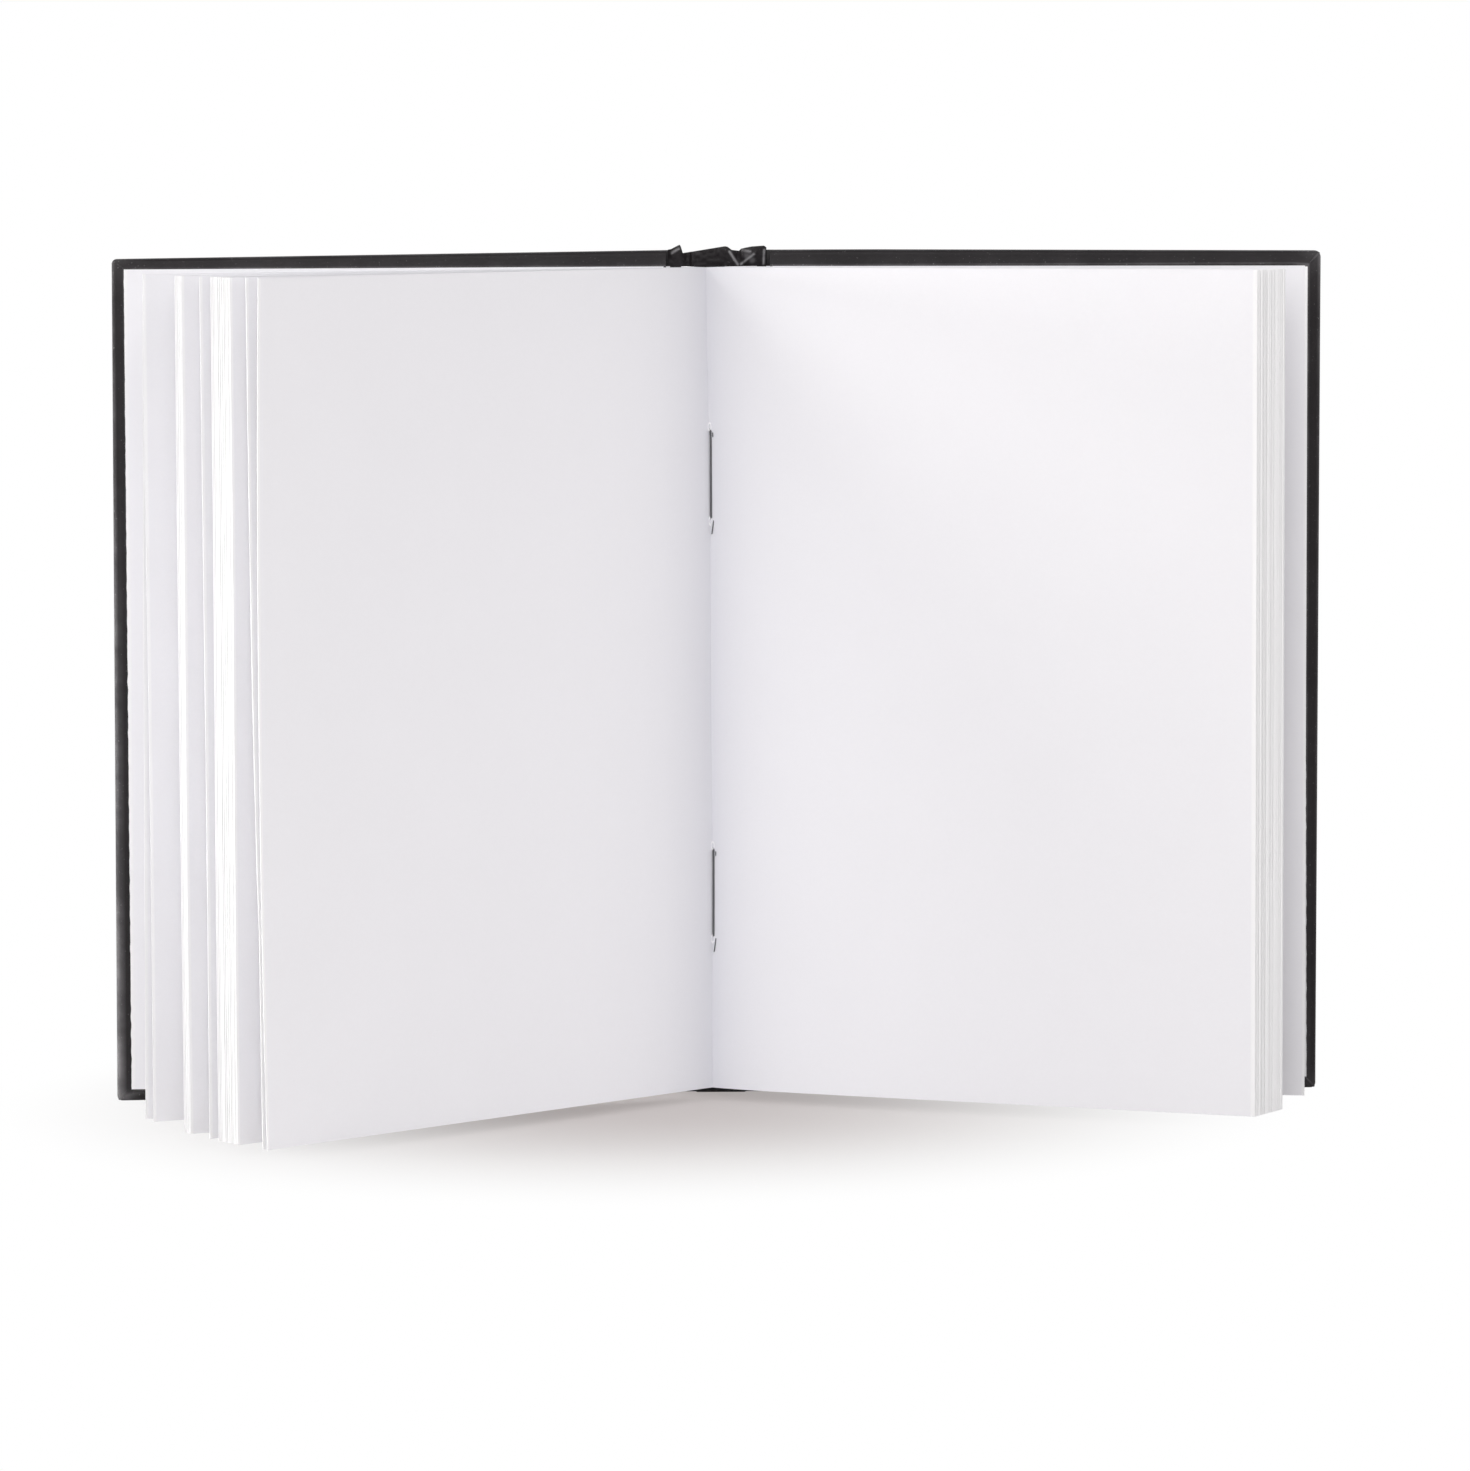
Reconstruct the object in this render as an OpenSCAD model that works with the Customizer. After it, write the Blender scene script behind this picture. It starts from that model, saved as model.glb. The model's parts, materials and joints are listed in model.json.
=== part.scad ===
// An A5 hard-cover sketchbook that stands on its tail edge, spread open a quarter of the way in.
// X runs along the spread, Y from the reader to the back, Z up from the tail.
// The origin is the middle of the spine's tail edge.

/* [Leaves] */
// Height of a leaf from tail to head
page_h = 210; // [180:1:240]
// Width of a leaf from its fold to its fore-edge
page_w = 148; // [144:1:149]
// Thickness of one leaf
leaf_t = 0.2; // [0.16:0.01:0.22]
// Thickness of the right-hand stack at its folds
stack_t = 10.8; // [9.5:0.1:11.5]
// How far the right-hand page swells out just after the gutter
page_swell = 2; // [0.5:0.1:3]
// Distance from the gutter over which the page straightens out
swell_reach = 12; // [8:1:16]
// How far a fanned leaf bulges forward between its fold and its edge
leaf_bow = 1; // [0:0.1:1.5]

/* [Case] */
// Width of a cover board
board_w = 140; // [139:0.5:146]
// Thickness of a cover board
board_t = 2.2; // [1.6:0.1:2.6]
// Thickness of the covering cloth
cloth_t = 0.5; // [0.4:0.05:0.6]
// Width of the card strip in the spine
spine_w = 13; // [12:0.5:15]
// Thickness of the card strip in the spine
strip_t = 1.6; // [1.2:0.1:2]
// Width of each bare joint between the strip and a board
joint_w = 6.5; // [6:0.5:8]
// Border of the case beyond the leaves at head and tail
square_w = 3; // [2:0.5:4]
// Width of the cloth turned in round the boards
turn_in = 14; // [10:1:18]
// Border of cloth left bare beside a pastedown at the fore-edge
bare_border = 3; // [2:0.5:5]
// Radius of the covers' outer corners
corner_r = 2.5; // [1.5:0.5:4]
// Height of the rumpled folds at the head of the spine
rumple_h = 1.4; // [0.6:0.1:2]

/* [Opening] */
// Angle by which the left cover stands forward of the spine
left_swing = 4.4; // [2:0.1:8]
// Angle by which the right cover leans back from the spine
right_lean = 1.7; // [0:0.1:4]
// Distance from the gutter back to the inside of the case
gutter_throw = 12; // [11.5:0.5:14]
// Distance of the gutter to the left of the spine's middle
gutter_offset = 3.2; // [2.5:0.1:4]
// Angle of the left-hand page that faces the reader
open_page = 44.2; // [43:0.1:47]
// Angles of the front and back leaves of the thick group
thick_group = [39.9, 37.4]; // [37:0.1:40.5]
// Angle of the single leaf behind the thick group
single_leaf = 35.5; // [34:0.1:36]
// Angles of the front and back leaves of the group of three
triple_group = [32.0, 31.1]; // [30:0.1:33]
// Angle of the loose leaf before the flyleaf
loose_leaf = 23.2; // [22.6:0.1:25]
// Angle of the left flyleaf
left_flyleaf_turn = 21.2; // [19:0.1:22]
// Angles of the front and back leaves of the right-hand stack
stack_turn = [22.0, 20.4]; // [19.5:0.1:22.5]
// Angle by which the middle leaves of that stack are spread outwards
fore_edge_bow = 0.6; // [0.2:0.1:0.9]
// Angle of the right flyleaf
right_flyleaf_turn = 10.8; // [8:0.1:12]

/* [Sewing] */
// Radius of the sewing thread
thread_r = 0.25; // [0.2:0.05:0.3]
// Height of the middle of the lower stitch above the leaf's tail, as a share of the leaf
lower_stitch = 0.24; // [0.2:0.01:0.3]
// Height of the middle of the upper stitch, as a share of the leaf
upper_stitch = 0.75; // [0.7:0.01:0.8]
// Length of one stitch
stitch_l = 24; // [20:1:30]

/* [Hidden] */

$fn = 48;

black_cloth = [0.13, 0.13, 0.14];
grey_board = [0.55, 0.52, 0.47];
white_paper = [0.93, 0.93, 0.92];
pale_lining = [0.85, 0.83, 0.78];
white_thread = [0.9, 0.9, 0.88];

// Case
cover_h = page_h + 2 * square_w;
case_depth = strip_t + 2 * cloth_t;
case_back = case_depth / 2;
case_front = -case_depth / 2;
web_inner = case_back - cloth_t;
hinge_x = spine_w / 2 + joint_w;
hinge_y = case_back - cloth_t / 2;
hinge_gap = 0.4;
board_gap = 0.6;
board_end = board_gap + board_w;
cover_w = board_end + cloth_t;
board_back = -cloth_t / 2;
board_front = board_back - board_t;
turn_in_front = board_front - cloth_t;
crease_w = 0.3;
crease_depth = 0.25;
crease_l = (turn_in - 2 * corner_r) * sqrt(2);

// Leaves
gutter = [-gutter_offset, case_front - gutter_throw];
left_folds_turn = 30;
right_folds_turn = 34;
valley_half = (left_folds_turn + right_folds_turn) / 2;
valley_turn = (right_folds_turn - left_folds_turn) / 2;
left_folds = [-sin(left_folds_turn), cos(left_folds_turn)];
right_folds = [sin(right_folds_turn), cos(right_folds_turn)];
fold_band = 0.6;
pinch = 2;
leaf_steps = 8;
page_steps = 16;
fore_edge_steps = 10;
front_leaf_loss = 0.8;
flyleaf_loss = 1.4;

// The groups of fanned leaves from the gutter back, each with its number of leaves and its two angles
leaf_groups = [
    [2, open_page, open_page - 0.6],
    [9, thick_group[0], thick_group[1]],
    [1, single_leaf, single_leaf],
    [3, triple_group[0], triple_group[1]],
    [1, loose_leaf, loose_leaf]
];
left_leaves = leaves_before(len(leaf_groups));
left_back = gutter + left_leaves * leaf_t * left_folds;
right_back = gutter + stack_t * right_folds;

// Lining and endpaper hinges, which leave the joints at the takeoffs
lining_t = cloth_t;
lining_margin = turn_in + 1;
glue_edge = hinge_x - 0.5;
left_takeoff = spine_w / 2 + joint_w / 3;
right_takeoff = hinge_x - joint_w / 3;

function leaves_before(group) =
    group == 0 ? 0 : leaf_groups[group - 1][0] + leaves_before(group - 1);

function lerp(a, b, t) = a + (b - a) * t;

function heading(turn, side) = [side * cos(turn), -sin(turn)];

function normal_of(v) = [-v[1], v[0]] / norm(v);

// Sideways step of one unit from a path at one of its points, mitred where the path turns
function side_step(path, i) =
    let (
        before = max(i, 1),
        after = min(i + 1, len(path) - 1),
        a = normal_of(path[before] - path[before - 1]),
        b = normal_of(path[after] - path[after - 1])
    )
    (a + b) / (1 + a * b);

// The same path moved sideways, so that a second sheet lies on the first
function beside(path, offset) = [
    for (i = [0 : len(path) - 1]) path[i] + side_step(path, i) * offset
];

// Closed outline of a strip of thickness t with its middle on the path
function ribbon(path, t) = concat(
    beside(path, t / 2),
    [for (i = [len(path) - 1 : -1 : 0]) path[i] - side_step(path, i) * t / 2]
);

// Path of a leaf from its fold, straight apart from a forward bulge
function leaf_path(root, turn, side, length, bow) = [
    for (i = [0 : leaf_steps])
        let (t = i / leaf_steps)
        root + heading(turn, side) * length * t + heading(turn + 90, side) * 4 * bow * t * (1 - t)
];

// Root and turn of leaf number i of a group on the left, with the root half way into the glued folds
function left_root(index) =
    gutter + (index + 0.5) * leaf_t * left_folds - normal_of(left_folds) * fold_band / 2;
function group_turn(group, i) =
    group[0] == 1 ? group[1] : lerp(group[1], group[2], i / (group[0] - 1));

// Point on the front (face 1) or back (face -1) of leaf number i of a group
function leaf_face(group, first, i, t, face) =
    let (
        turn = group_turn(group, i),
        bow = first == 0 ? 0 : leaf_bow
    )
    left_root(first + i) + heading(turn, -1) * page_w * t
    + heading(turn + 90, -1) * (4 * bow * t * (1 - t) + face * leaf_t / 2);

// Outline of a group of leaves, which are one solid up to the first step from their folds
function group_outline(group, first) = [
    for (i = [0 : group[0] - 1])
        let (start = i == 0 ? 0 : 1, end = i == group[0] - 1 ? 0 : 1)
        each concat(
            [for (k = [start : leaf_steps]) leaf_face(group, first, i, k / leaf_steps, 1)],
            [for (k = [leaf_steps : -1 : end]) leaf_face(group, first, i, k / leaf_steps, -1)]
        )
];

// Swell of the right-hand page at a distance s from the gutter, back to none at its edge
function swell(s) =
    page_swell * (1 - exp(-s / swell_reach) - s / page_w * (1 - exp(-page_w / swell_reach)));

function stack_front() = [
    for (i = [0 : page_steps])
        let (s = (page_w - front_leaf_loss) * pow(i / page_steps, 1.5))
        gutter + heading(stack_turn[0], 1) * s + heading(stack_turn[0] + 90, 1) * swell(s)
];

// Edge of the leaf that lies a share t of the way through the right-hand stack
function stack_edge(t) =
    gutter + right_folds * stack_t * t
    + heading(lerp(stack_turn[0], stack_turn[1], t) - 4 * fore_edge_bow * t * (1 - t), 1)
    * (page_w - front_leaf_loss * pow(1 - t, 2));

// Point behind the gutter where the backs of the two sets of folds meet, moved out by an offset
function valley(offset) =
    gutter + offset / sin(valley_half) * [sin(valley_turn), cos(valley_turn)];

function left_spine_end(offset) = left_back - normal_of(left_folds) * offset;
function right_spine_end(offset) = right_back + normal_of(right_folds) * offset;

// Middle of the lining from the glued edge on a joint to the back of the folds
function left_flap() = [
    [-glue_edge, web_inner - lining_t / 2],
    [-left_takeoff, web_inner - lining_t / 2],
    left_spine_end(fold_band + lining_t / 2)
];
function right_flap() = [
    [glue_edge, web_inner - lining_t / 2],
    [right_takeoff, web_inner - lining_t / 2],
    right_spine_end(fold_band + lining_t / 2)
];

// Plain solid that stands on a plan outline
module standing(points, z0, height)
    translate([0, 0, z0])
        linear_extrude(height)
            polygon(points);

// Upright plate from x0 to x1, with rounded corners at x1 and its back face at y_back
module plate(x0, x1, z0, z1, r, y_back, depth)
    translate([0, y_back, 0])
        rotate([90, 0, 0])
            linear_extrude(depth) {
                translate([x0, z0])
                    square([x1 - x0 - r, z1 - z0]);
                translate([x0, z0 + r])
                    square([x1 - x0, z1 - z0 - 2 * r]);
                for (z = [z0 + r, z1 - r])
                    translate([x1 - r, z])
                        circle(r);
            }

// Places a cover, drawn flat with its hinge at the origin and its inside towards the reader
module at_left_hinge()
    translate([-hinge_x, hinge_y, 0])
        mirror([1, 0, 0])
            rotate([0, 0, -left_swing])
                children();

module at_right_hinge()
    translate([hinge_x, hinge_y, 0])
        rotate([0, 0, right_lean])
            children();

module board()
    color(grey_board)
        plate(board_gap, board_end, cloth_t, cover_h - cloth_t, corner_r - cloth_t, board_back, board_t);

// Crease where the two flaps of a turned-in corner meet
module mitre_crease(z, slope)
    translate([cover_w - turn_in / 2, turn_in_front, z - slope * turn_in / 2])
        rotate([0, -slope * 45, 0])
            cube([crease_l, 2 * crease_depth, crease_w], center = true);

module cover_cloth()
    color(black_cloth)
        difference() {
            plate(hinge_gap, cover_w, 0, cover_h, corner_r, cloth_t / 2, board_t + 2 * cloth_t);
            plate(
                board_gap - 1, board_end, cloth_t, cover_h - cloth_t, corner_r - cloth_t,
                board_back, board_t
            );
            translate([board_gap - 1, turn_in_front - 1, turn_in])
                cube([cover_w - turn_in - board_gap + 1, cloth_t + 1, cover_h - 2 * turn_in]);
            translate([board_gap - 1, turn_in_front - 1, -1])
                cube([1, board_t + cloth_t + 1, cover_h + 2]);
            mitre_crease(0, -1);
            mitre_crease(cover_h, 1);
        }

// Pastedown that lies on the turn-ins and dips to the board between them
module pastedown()
    color(white_paper)
        difference() {
            union() {
                translate([board_gap, turn_in_front - leaf_t, square_w])
                    cube([cover_w - bare_border - board_gap, leaf_t, page_h]);
                translate([board_gap, turn_in_front, turn_in])
                    cube([cover_w - turn_in - board_gap, cloth_t, cover_h - 2 * turn_in]);
            }
            translate([board_gap - 1, turn_in_front - leaf_t - 1, turn_in + leaf_t])
                cube([
                    cover_w - turn_in - leaf_t - board_gap + 1,
                    cloth_t + 1,
                    cover_h - 2 * (turn_in + leaf_t)
                ]);
        }

module spine_strip()
    color(grey_board)
        translate([-spine_w / 2, web_inner - strip_t, cloth_t])
            cube([spine_w, strip_t, cover_h - 2 * cloth_t]);

// Cloth turned in over the strip and the joints at one end of the spine
module spine_turn_in(z0) {
    translate([-spine_w / 2, case_front, z0])
        cube([spine_w, cloth_t, turn_in]);
    for (x = [-hinge_x, spine_w / 2])
        translate([x, web_inner - cloth_t, z0])
            cube([joint_w, cloth_t, turn_in]);
}

// One rumpled fold of the turn-in, drawn as seen from the front
module rumple_fold(points)
    translate([0, case_back, cover_h])
        rotate([90, 0, 0])
            linear_extrude(case_depth)
                polygon(points);

module spine_cloth()
    color(black_cloth) {
        translate([-hinge_x, web_inner, 0])
            cube([2 * hinge_x, cloth_t, cover_h]);
        for (z = [0, cover_h - cloth_t])
            translate([-spine_w / 2, case_front, z])
                cube([spine_w, case_depth, cloth_t]);
        spine_turn_in(0);
        spine_turn_in(cover_h - turn_in);
        rumple_fold([
            [-spine_w / 2, -cloth_t],
            [spine_w / 5, -cloth_t],
            [spine_w / 3, -cloth_t / 4],
            [spine_w / 6, rumple_h * 0.7],
            [-spine_w / 2, -cloth_t / 4]
        ]);
        rumple_fold([
            [spine_w * 0.44, -cloth_t],
            [hinge_x - 0.6, -cloth_t],
            [hinge_x - 0.6, rumple_h * 0.6],
            [hinge_x - 1.4, rumple_h * 0.7],
            [spine_w * 0.46, rumple_h * 0.3]
        ]);
        rumple_fold([
            [-hinge_x + 1.4, -cloth_t],
            [-hinge_x + 4.2, -cloth_t],
            [-hinge_x + 3.9, rumple_h],
            [-hinge_x + 1.8, rumple_h * 0.2]
        ]);
    }

// Endpaper that follows the lining from a joint to its own fold and then runs out to the fore-edge
module flyleaf(side, flap, fold, turn)
    color(white_paper) {
        hinge = beside(flap, side * (lining_t + leaf_t) / 2);
        standing(ribbon([hinge[0], hinge[1], fold], leaf_t), square_w, page_h);
        standing(
            ribbon(leaf_path(fold, turn, side, page_w - flyleaf_loss, leaf_bow), leaf_t),
            square_w,
            page_h
        );
    }

// The sewn sections: fanned leaves on the left and one stack on the right, joined at their folds
module page_block()
    color(white_paper) {
        for (g = [0 : len(leaf_groups) - 1])
            standing(group_outline(leaf_groups[g], leaves_before(g)), square_w, page_h);
        standing(
            [
                left_root(0),
                left_root(0) + heading(open_page, -1) * pinch,
                left_root(left_leaves - 1) + heading(loose_leaf, -1) * pinch,
                left_root(left_leaves - 1)
            ],
            square_w,
            page_h
        );
        standing(
            concat(
                stack_front(),
                [for (i = [1 : fore_edge_steps]) stack_edge(i / fore_edge_steps)],
                [right_back]
            ),
            square_w,
            page_h
        );
        standing(
            [
                left_back, gutter, right_back,
                right_spine_end(fold_band), valley(fold_band), left_spine_end(fold_band)
            ],
            square_w,
            page_h
        );
    }

// Lining glued over the folds of the sections and on to the case's two joints
module spine_lining()
    color(pale_lining)
        standing(
            ribbon(
                concat(
                    left_flap(),
                    [valley(fold_band + lining_t / 2)],
                    [for (i = [2 : -1 : 0]) right_flap()[i]]
                ),
                lining_t
            ),
            lining_margin,
            cover_h - 2 * lining_margin
        );

// Two long stitches in the open fold, each turned into the fold at both ends
module sewing_thread()
    color(white_thread)
        for (share = [lower_stitch, upper_stitch])
            translate([
                gutter[0],
                gutter[1] - thread_r * 1.25,
                square_w + page_h * share
            ]) {
                cylinder(r = thread_r, h = stitch_l, center = true);
                for (end = [-1, 1])
                    translate([0, 0, end * (stitch_l / 2 - thread_r)])
                        rotate([-90, 0, 0])
                            cylinder(r = thread_r, h = thread_r + fold_band);
            }

at_left_hinge() board();  // left_board
at_right_hinge() board();  // right_board
spine_strip();
at_left_hinge() cover_cloth();  // left_cover_cloth
at_right_hinge() cover_cloth();  // right_cover_cloth
spine_cloth();
at_left_hinge() pastedown();  // left_pastedown
at_right_hinge() pastedown();  // right_pastedown
flyleaf(-1, left_flap(), left_back + left_folds * leaf_t / 2, left_flyleaf_turn);  // left_flyleaf
flyleaf(1, right_flap(), right_back + right_folds * leaf_t / 2, right_flyleaf_turn);  // right_flyleaf
page_block();
spine_lining();
sewing_thread();
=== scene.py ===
"""Looks of an A5 hard-cover sketchbook that stands on its tail edge, spread open near its front.

Lengths are metres. X runs along the spread, Y from the reader to the back, Z up from the tail.
A leaf or cover is drawn by its distance from its own fold and by its height.
"""
import json
import math
import random

import bmesh
import bpy
from bpy.props import FloatProperty, FloatVectorProperty, IntProperty, PointerProperty
from bpy.types import Operator, Panel, PropertyGroup
from mathutils import Matrix, Vector, noise


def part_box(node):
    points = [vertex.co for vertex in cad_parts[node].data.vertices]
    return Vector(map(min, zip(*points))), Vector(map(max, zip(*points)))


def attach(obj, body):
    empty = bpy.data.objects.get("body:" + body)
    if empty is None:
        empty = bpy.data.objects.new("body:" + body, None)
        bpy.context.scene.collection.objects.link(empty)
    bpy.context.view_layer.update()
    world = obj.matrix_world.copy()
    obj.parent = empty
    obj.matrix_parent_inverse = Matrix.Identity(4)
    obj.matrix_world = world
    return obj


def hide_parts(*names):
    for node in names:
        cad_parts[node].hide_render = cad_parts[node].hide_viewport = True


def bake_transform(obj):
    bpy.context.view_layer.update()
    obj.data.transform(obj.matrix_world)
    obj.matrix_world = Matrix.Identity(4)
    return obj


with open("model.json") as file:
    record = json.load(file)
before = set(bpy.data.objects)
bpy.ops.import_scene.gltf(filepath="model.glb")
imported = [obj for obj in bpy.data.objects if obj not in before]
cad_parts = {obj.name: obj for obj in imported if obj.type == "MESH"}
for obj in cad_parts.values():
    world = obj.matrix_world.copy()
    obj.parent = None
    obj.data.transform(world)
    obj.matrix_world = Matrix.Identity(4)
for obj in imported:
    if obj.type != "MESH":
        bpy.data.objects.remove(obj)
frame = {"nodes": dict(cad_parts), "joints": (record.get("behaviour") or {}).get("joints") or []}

bl_info = {
    "name": "Opened Sketchbook",
    "version": (1, 0, 0),
    "blender": (4, 5, 0),
    "location": "View3D > Sidebar > Sketchbook",
    "description": "Covers, endpapers, fanned leaves and sewing of an opened sketchbook",
    "category": "Object",
}

MM = 0.001
SEED = 7

# The two hinge lines, taken from the joints of the frame
HINGES = {joint["child"]: Vector(joint["pos_m"]) for joint in frame["joints"]}
HINGE_X = HINGES["right_cover"].x
HINGE_Y = HINGES["right_cover"].y
BLOCK_LOW, BLOCK_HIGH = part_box("page_block")
PAGE_HEIGHT = BLOCK_HIGH.z - BLOCK_LOW.z
SQUARE = BLOCK_LOW.z
COVER_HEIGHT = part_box("left_cover_cloth")[1].z
CASE_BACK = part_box("spine_cloth")[1].y
STRIP_LOW, STRIP_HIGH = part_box("spine_strip")
SPINE_HALF = STRIP_HIGH.x
CLOTH = CASE_BACK - STRIP_HIGH.y
CASE_FRONT = STRIP_LOW.y - CLOTH

LEFT = -1
RIGHT = 1
SIDE_NAMES = {LEFT: "left", RIGHT: "right"}

# The groups of fanned leaves from the gutter back: leaves, front and back angle in degrees
LEAF_GROUPS = [(2, 44.2, 43.6), (18, 39.9, 37.4), (1, 35.5, 35.5), (7, 32.1, 31.0), (1, 23.2, 23.2)]
# How much the leaves of the right-hand stack gather in clumps at the fore-edge, and where the
# clumps begin, as shares of its leaves
CLUMPING = 0.7
STACK_CLUMPS = (0, 0.02, 0.09, 0.18, 0.26, 0.41, 0.5, 0.63, 0.72, 0.85, 0.98)

# Rise of the covers' head edges over the page block's square, as places along the spread and
# heights in millimetres
HEAD_RISE = [
    (-153, -0.36), (-13, 1.13), (-12.4, 1.1), (-11, 0), (11, 0), (12.4, 1.15), (40, 1.12),
    (153, 0.35),
]

# Width that a cover, its flyleaf and its pastedown gain at the head and at the tail, in millimetres
COVER_GAIN = {LEFT: (0.3, 1.5), RIGHT: (0.46, -0.08)}
FLYLEAF_GAIN = {LEFT: (0.0, 1.8), RIGHT: (0.0, 0.0)}
PASTEDOWN_GAIN = {LEFT: (0.25, 0.78), RIGHT: (-0.7, 0.45)}

# Drift of the gutter towards the right, as pairs of height share and millimetres
GUTTER_DRIFT = [(0.0, 1.1), (0.3, 1.4), (0.47, 1.15), (0.78, 1.15), (0.86, 0.65), (1.0, 0.25)]


def length_property(name, description, millimetres):
    return FloatProperty(
        name=name, description=description, default=millimetres * MM, unit="LENGTH"
    )


def angle_property(name, description, degrees):
    return FloatProperty(
        name=name, description=description, default=math.radians(degrees), subtype="ANGLE"
    )


def share_property(name, description, share):
    return FloatProperty(
        name=name, description=description, default=share, subtype="FACTOR", min=0, max=1
    )


def power_property(name, description, watts):
    return FloatProperty(name=name, description=description, default=watts, unit="POWER")


def count_property(name, description, count):
    return IntProperty(name=name, description=description, default=count)


def place_property(name, description, place):
    return FloatVectorProperty(
        name=name, description=description, default=place, size=3, subtype="TRANSLATION"
    )


def colour_property(name, description, colour):
    return FloatVectorProperty(
        name=name, description=description, default=colour, size=3, subtype="COLOR", min=0, max=1
    )


class SketchbookLeaves(PropertyGroup):
    """Sizes and angles of the leaves."""

    leaf_thickness: length_property("Leaf thickness", "Thickness of one leaf", 0.2)
    leaf_edge: length_property("Leaf edge", "Thickness of a cut edge, with its burr", 0.24)
    page_width: length_property("Page width", "Width of a leaf from its fold", 148)
    gutter_x: length_property("Gutter across", "Place of the open fold along the spread", -3.2)
    gutter_y: length_property(
        "Gutter depth", "Place of the open fold from the middle of the case", -13.3
    )
    left_folds_turn: angle_property("Left folds", "Angle of the backs of the left-hand folds", 30)
    right_folds_turn: angle_property(
        "Right folds", "Angle of the backs of the right-hand folds", 34
    )
    left_thickness: length_property(
        "Left thickness", "Thickness of the left-hand leaves at their folds", 3.2
    )
    fold_thinness: share_property(
        "Fold thinness", "Thickness of a leaf at its pressed fold, as a share", 0.6
    )
    leaf_bow: length_property("Leaf bow", "Forward bulge of a fanned leaf", 1)
    stack_thickness: length_property(
        "Stack thickness", "Thickness of the right-hand stack at its folds", 10.8
    )
    stack_leaves: count_property("Stack leaves", "Number of leaves in the right-hand stack", 54)
    stack_front_turn: angle_property("Right page", "Angle of the right-hand page", 22.0)
    stack_back_turn: angle_property("Last leaf", "Angle of the last leaf of the stack", 20.4)
    fore_edge_bow: angle_property(
        "Fore-edge bow", "Angle by which the middle leaves are spread outwards", 0.6
    )
    page_swell: length_property("Page swell", "Swell of the right-hand page beside the gutter", 2)
    swell_reach: length_property("Swell reach", "Distance over which that page straightens out", 12)
    left_flyleaf_turn: angle_property("Left flyleaf", "Angle of the left flyleaf", 21.2)
    right_flyleaf_turn: angle_property("Right flyleaf", "Angle of the right flyleaf", 10.8)
    # Reach of the painted shade on the paper at the open fold
    shade_reach: length_property(
        "Shade reach", "Distance over which the paper is greyer at the open fold", 13
    )
    section_leaves: count_property("Section leaves", "Number of leaves in one sewn section", 8)


class SketchbookCase(PropertyGroup):
    """Sizes of the case."""

    left_swing: angle_property("Left swing", "Angle by which the left cover stands forward", 4.4)
    right_lean: angle_property("Right lean", "Angle by which the right cover leans back", 1.7)
    board_thickness: length_property("Board thickness", "Thickness of a cover board", 2.2)
    cover_width: length_property("Cover width", "Width of a cover from its hinge line", 141.1)
    turn_in: length_property("Turn-in", "Width of the cloth turned in round a board", 14)
    bare_border: length_property("Bare border", "Cloth left bare beside a pastedown", 3)
    corner_radius: length_property("Corner radius", "Radius of the right cover's head corner", 1.6)
    pressed_radius: length_property(
        "Pressed corner radius", "Radius of the other three outer corners", 1.3
    )
    wrap_radius: length_property(
        "Wrap radius", "Rounding of the cloth where it wraps a board's edge", 1.1
    )
    groove_depth: length_property("Groove depth", "Depth of the outer groove along each joint", 0.4)


class SketchbookFinish(PropertyGroup):
    """Colours of the finishes."""

    paper: colour_property("Paper", "Colour of the drawing paper", (0.915, 0.91, 0.935))
    cloth: colour_property("Cover cloth", "Colour of the leather-cloth", (0.0186, 0.0162, 0.0174))
    # Pale of worn cloth, which also paints the highlights on the rumpled head's facets
    worn_and_sheen_cloth: colour_property(
        "Worn cloth", "Colour of the cloth where it is rubbed", (0.42, 0.41, 0.42)
    )
    board: colour_property("Board", "Colour of the grey board", (0.27, 0.245, 0.21))
    lining: colour_property("Lining", "Colour of the lining cloth", (0.62, 0.58, 0.5))
    # Dark grey is painted shade: the white thread lies in the deep shade of the gutter and is drawn
    # darker for it
    thread: colour_property("Thread", "Colour of the sewing thread", (0.13, 0.13, 0.14))


class SketchbookStage(PropertyGroup):
    """Camera, lamps and floor."""

    camera_lens: FloatProperty(
        name="Lens", description="Focal length for a 36 mm film", default=164.16, unit="CAMERA"
    )
    camera_pitch: angle_property("Camera pitch", "Angle by which the camera looks down", 5.22)
    camera_roll: angle_property("Camera roll", "Turn of the camera about its line of sight", -0.23)
    camera_place: place_property("Camera place", "Place of the camera", (0.004, -1.7193, 0.2495))
    sky_strength: FloatProperty(
        name="Sky strength", description="Light from all round", default=0.47
    )
    key_power: power_property("Key power", "Power of the lamp high on the left", 14.0)
    front_power: power_property("Front power", "Power of the lamp in front", 13.9)
    side_power: power_property("Side power", "Power of the lamp in front on the right", 3.9)
    fan_power: power_property("Fan power", "Power of the narrow lamp on the fanned leaves", 0.016)
    edge_power: power_property("Edge power", "Power of the narrow lamp on their edges", 0.075)
    shadow_light: share_property(
        "Shadow light", "Share of the floor's tone that no shadow darkens", 0.45
    )
    shadow_reach: place_property(
        "Shadow reach", "Distances over which the floor's shadow fades to white", (0.17, 0.17, 1.0)
    )
    shadow_core: share_property(
        "Shadow core", "Share of that reach over which the shadow is whole", 0.08
    )


def settings():
    return bpy.context.scene


def deselect_all():
    if bpy.context.object and bpy.context.object.mode != "OBJECT":
        bpy.ops.object.mode_set(mode="OBJECT")
    bpy.ops.object.select_all(action="DESELECT")


def make_active(obj):
    deselect_all()
    obj.select_set(True)
    bpy.context.view_layer.objects.active = obj


def modify(obj, kind, **values):
    """Adds a modifier, sets its values and applies it."""
    make_active(obj)
    modifier = obj.modifiers.new(kind.title(), kind)
    for name, value in values.items():
        setattr(modifier, name, value)
    bpy.ops.object.modifier_apply(modifier=modifier.name)


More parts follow.
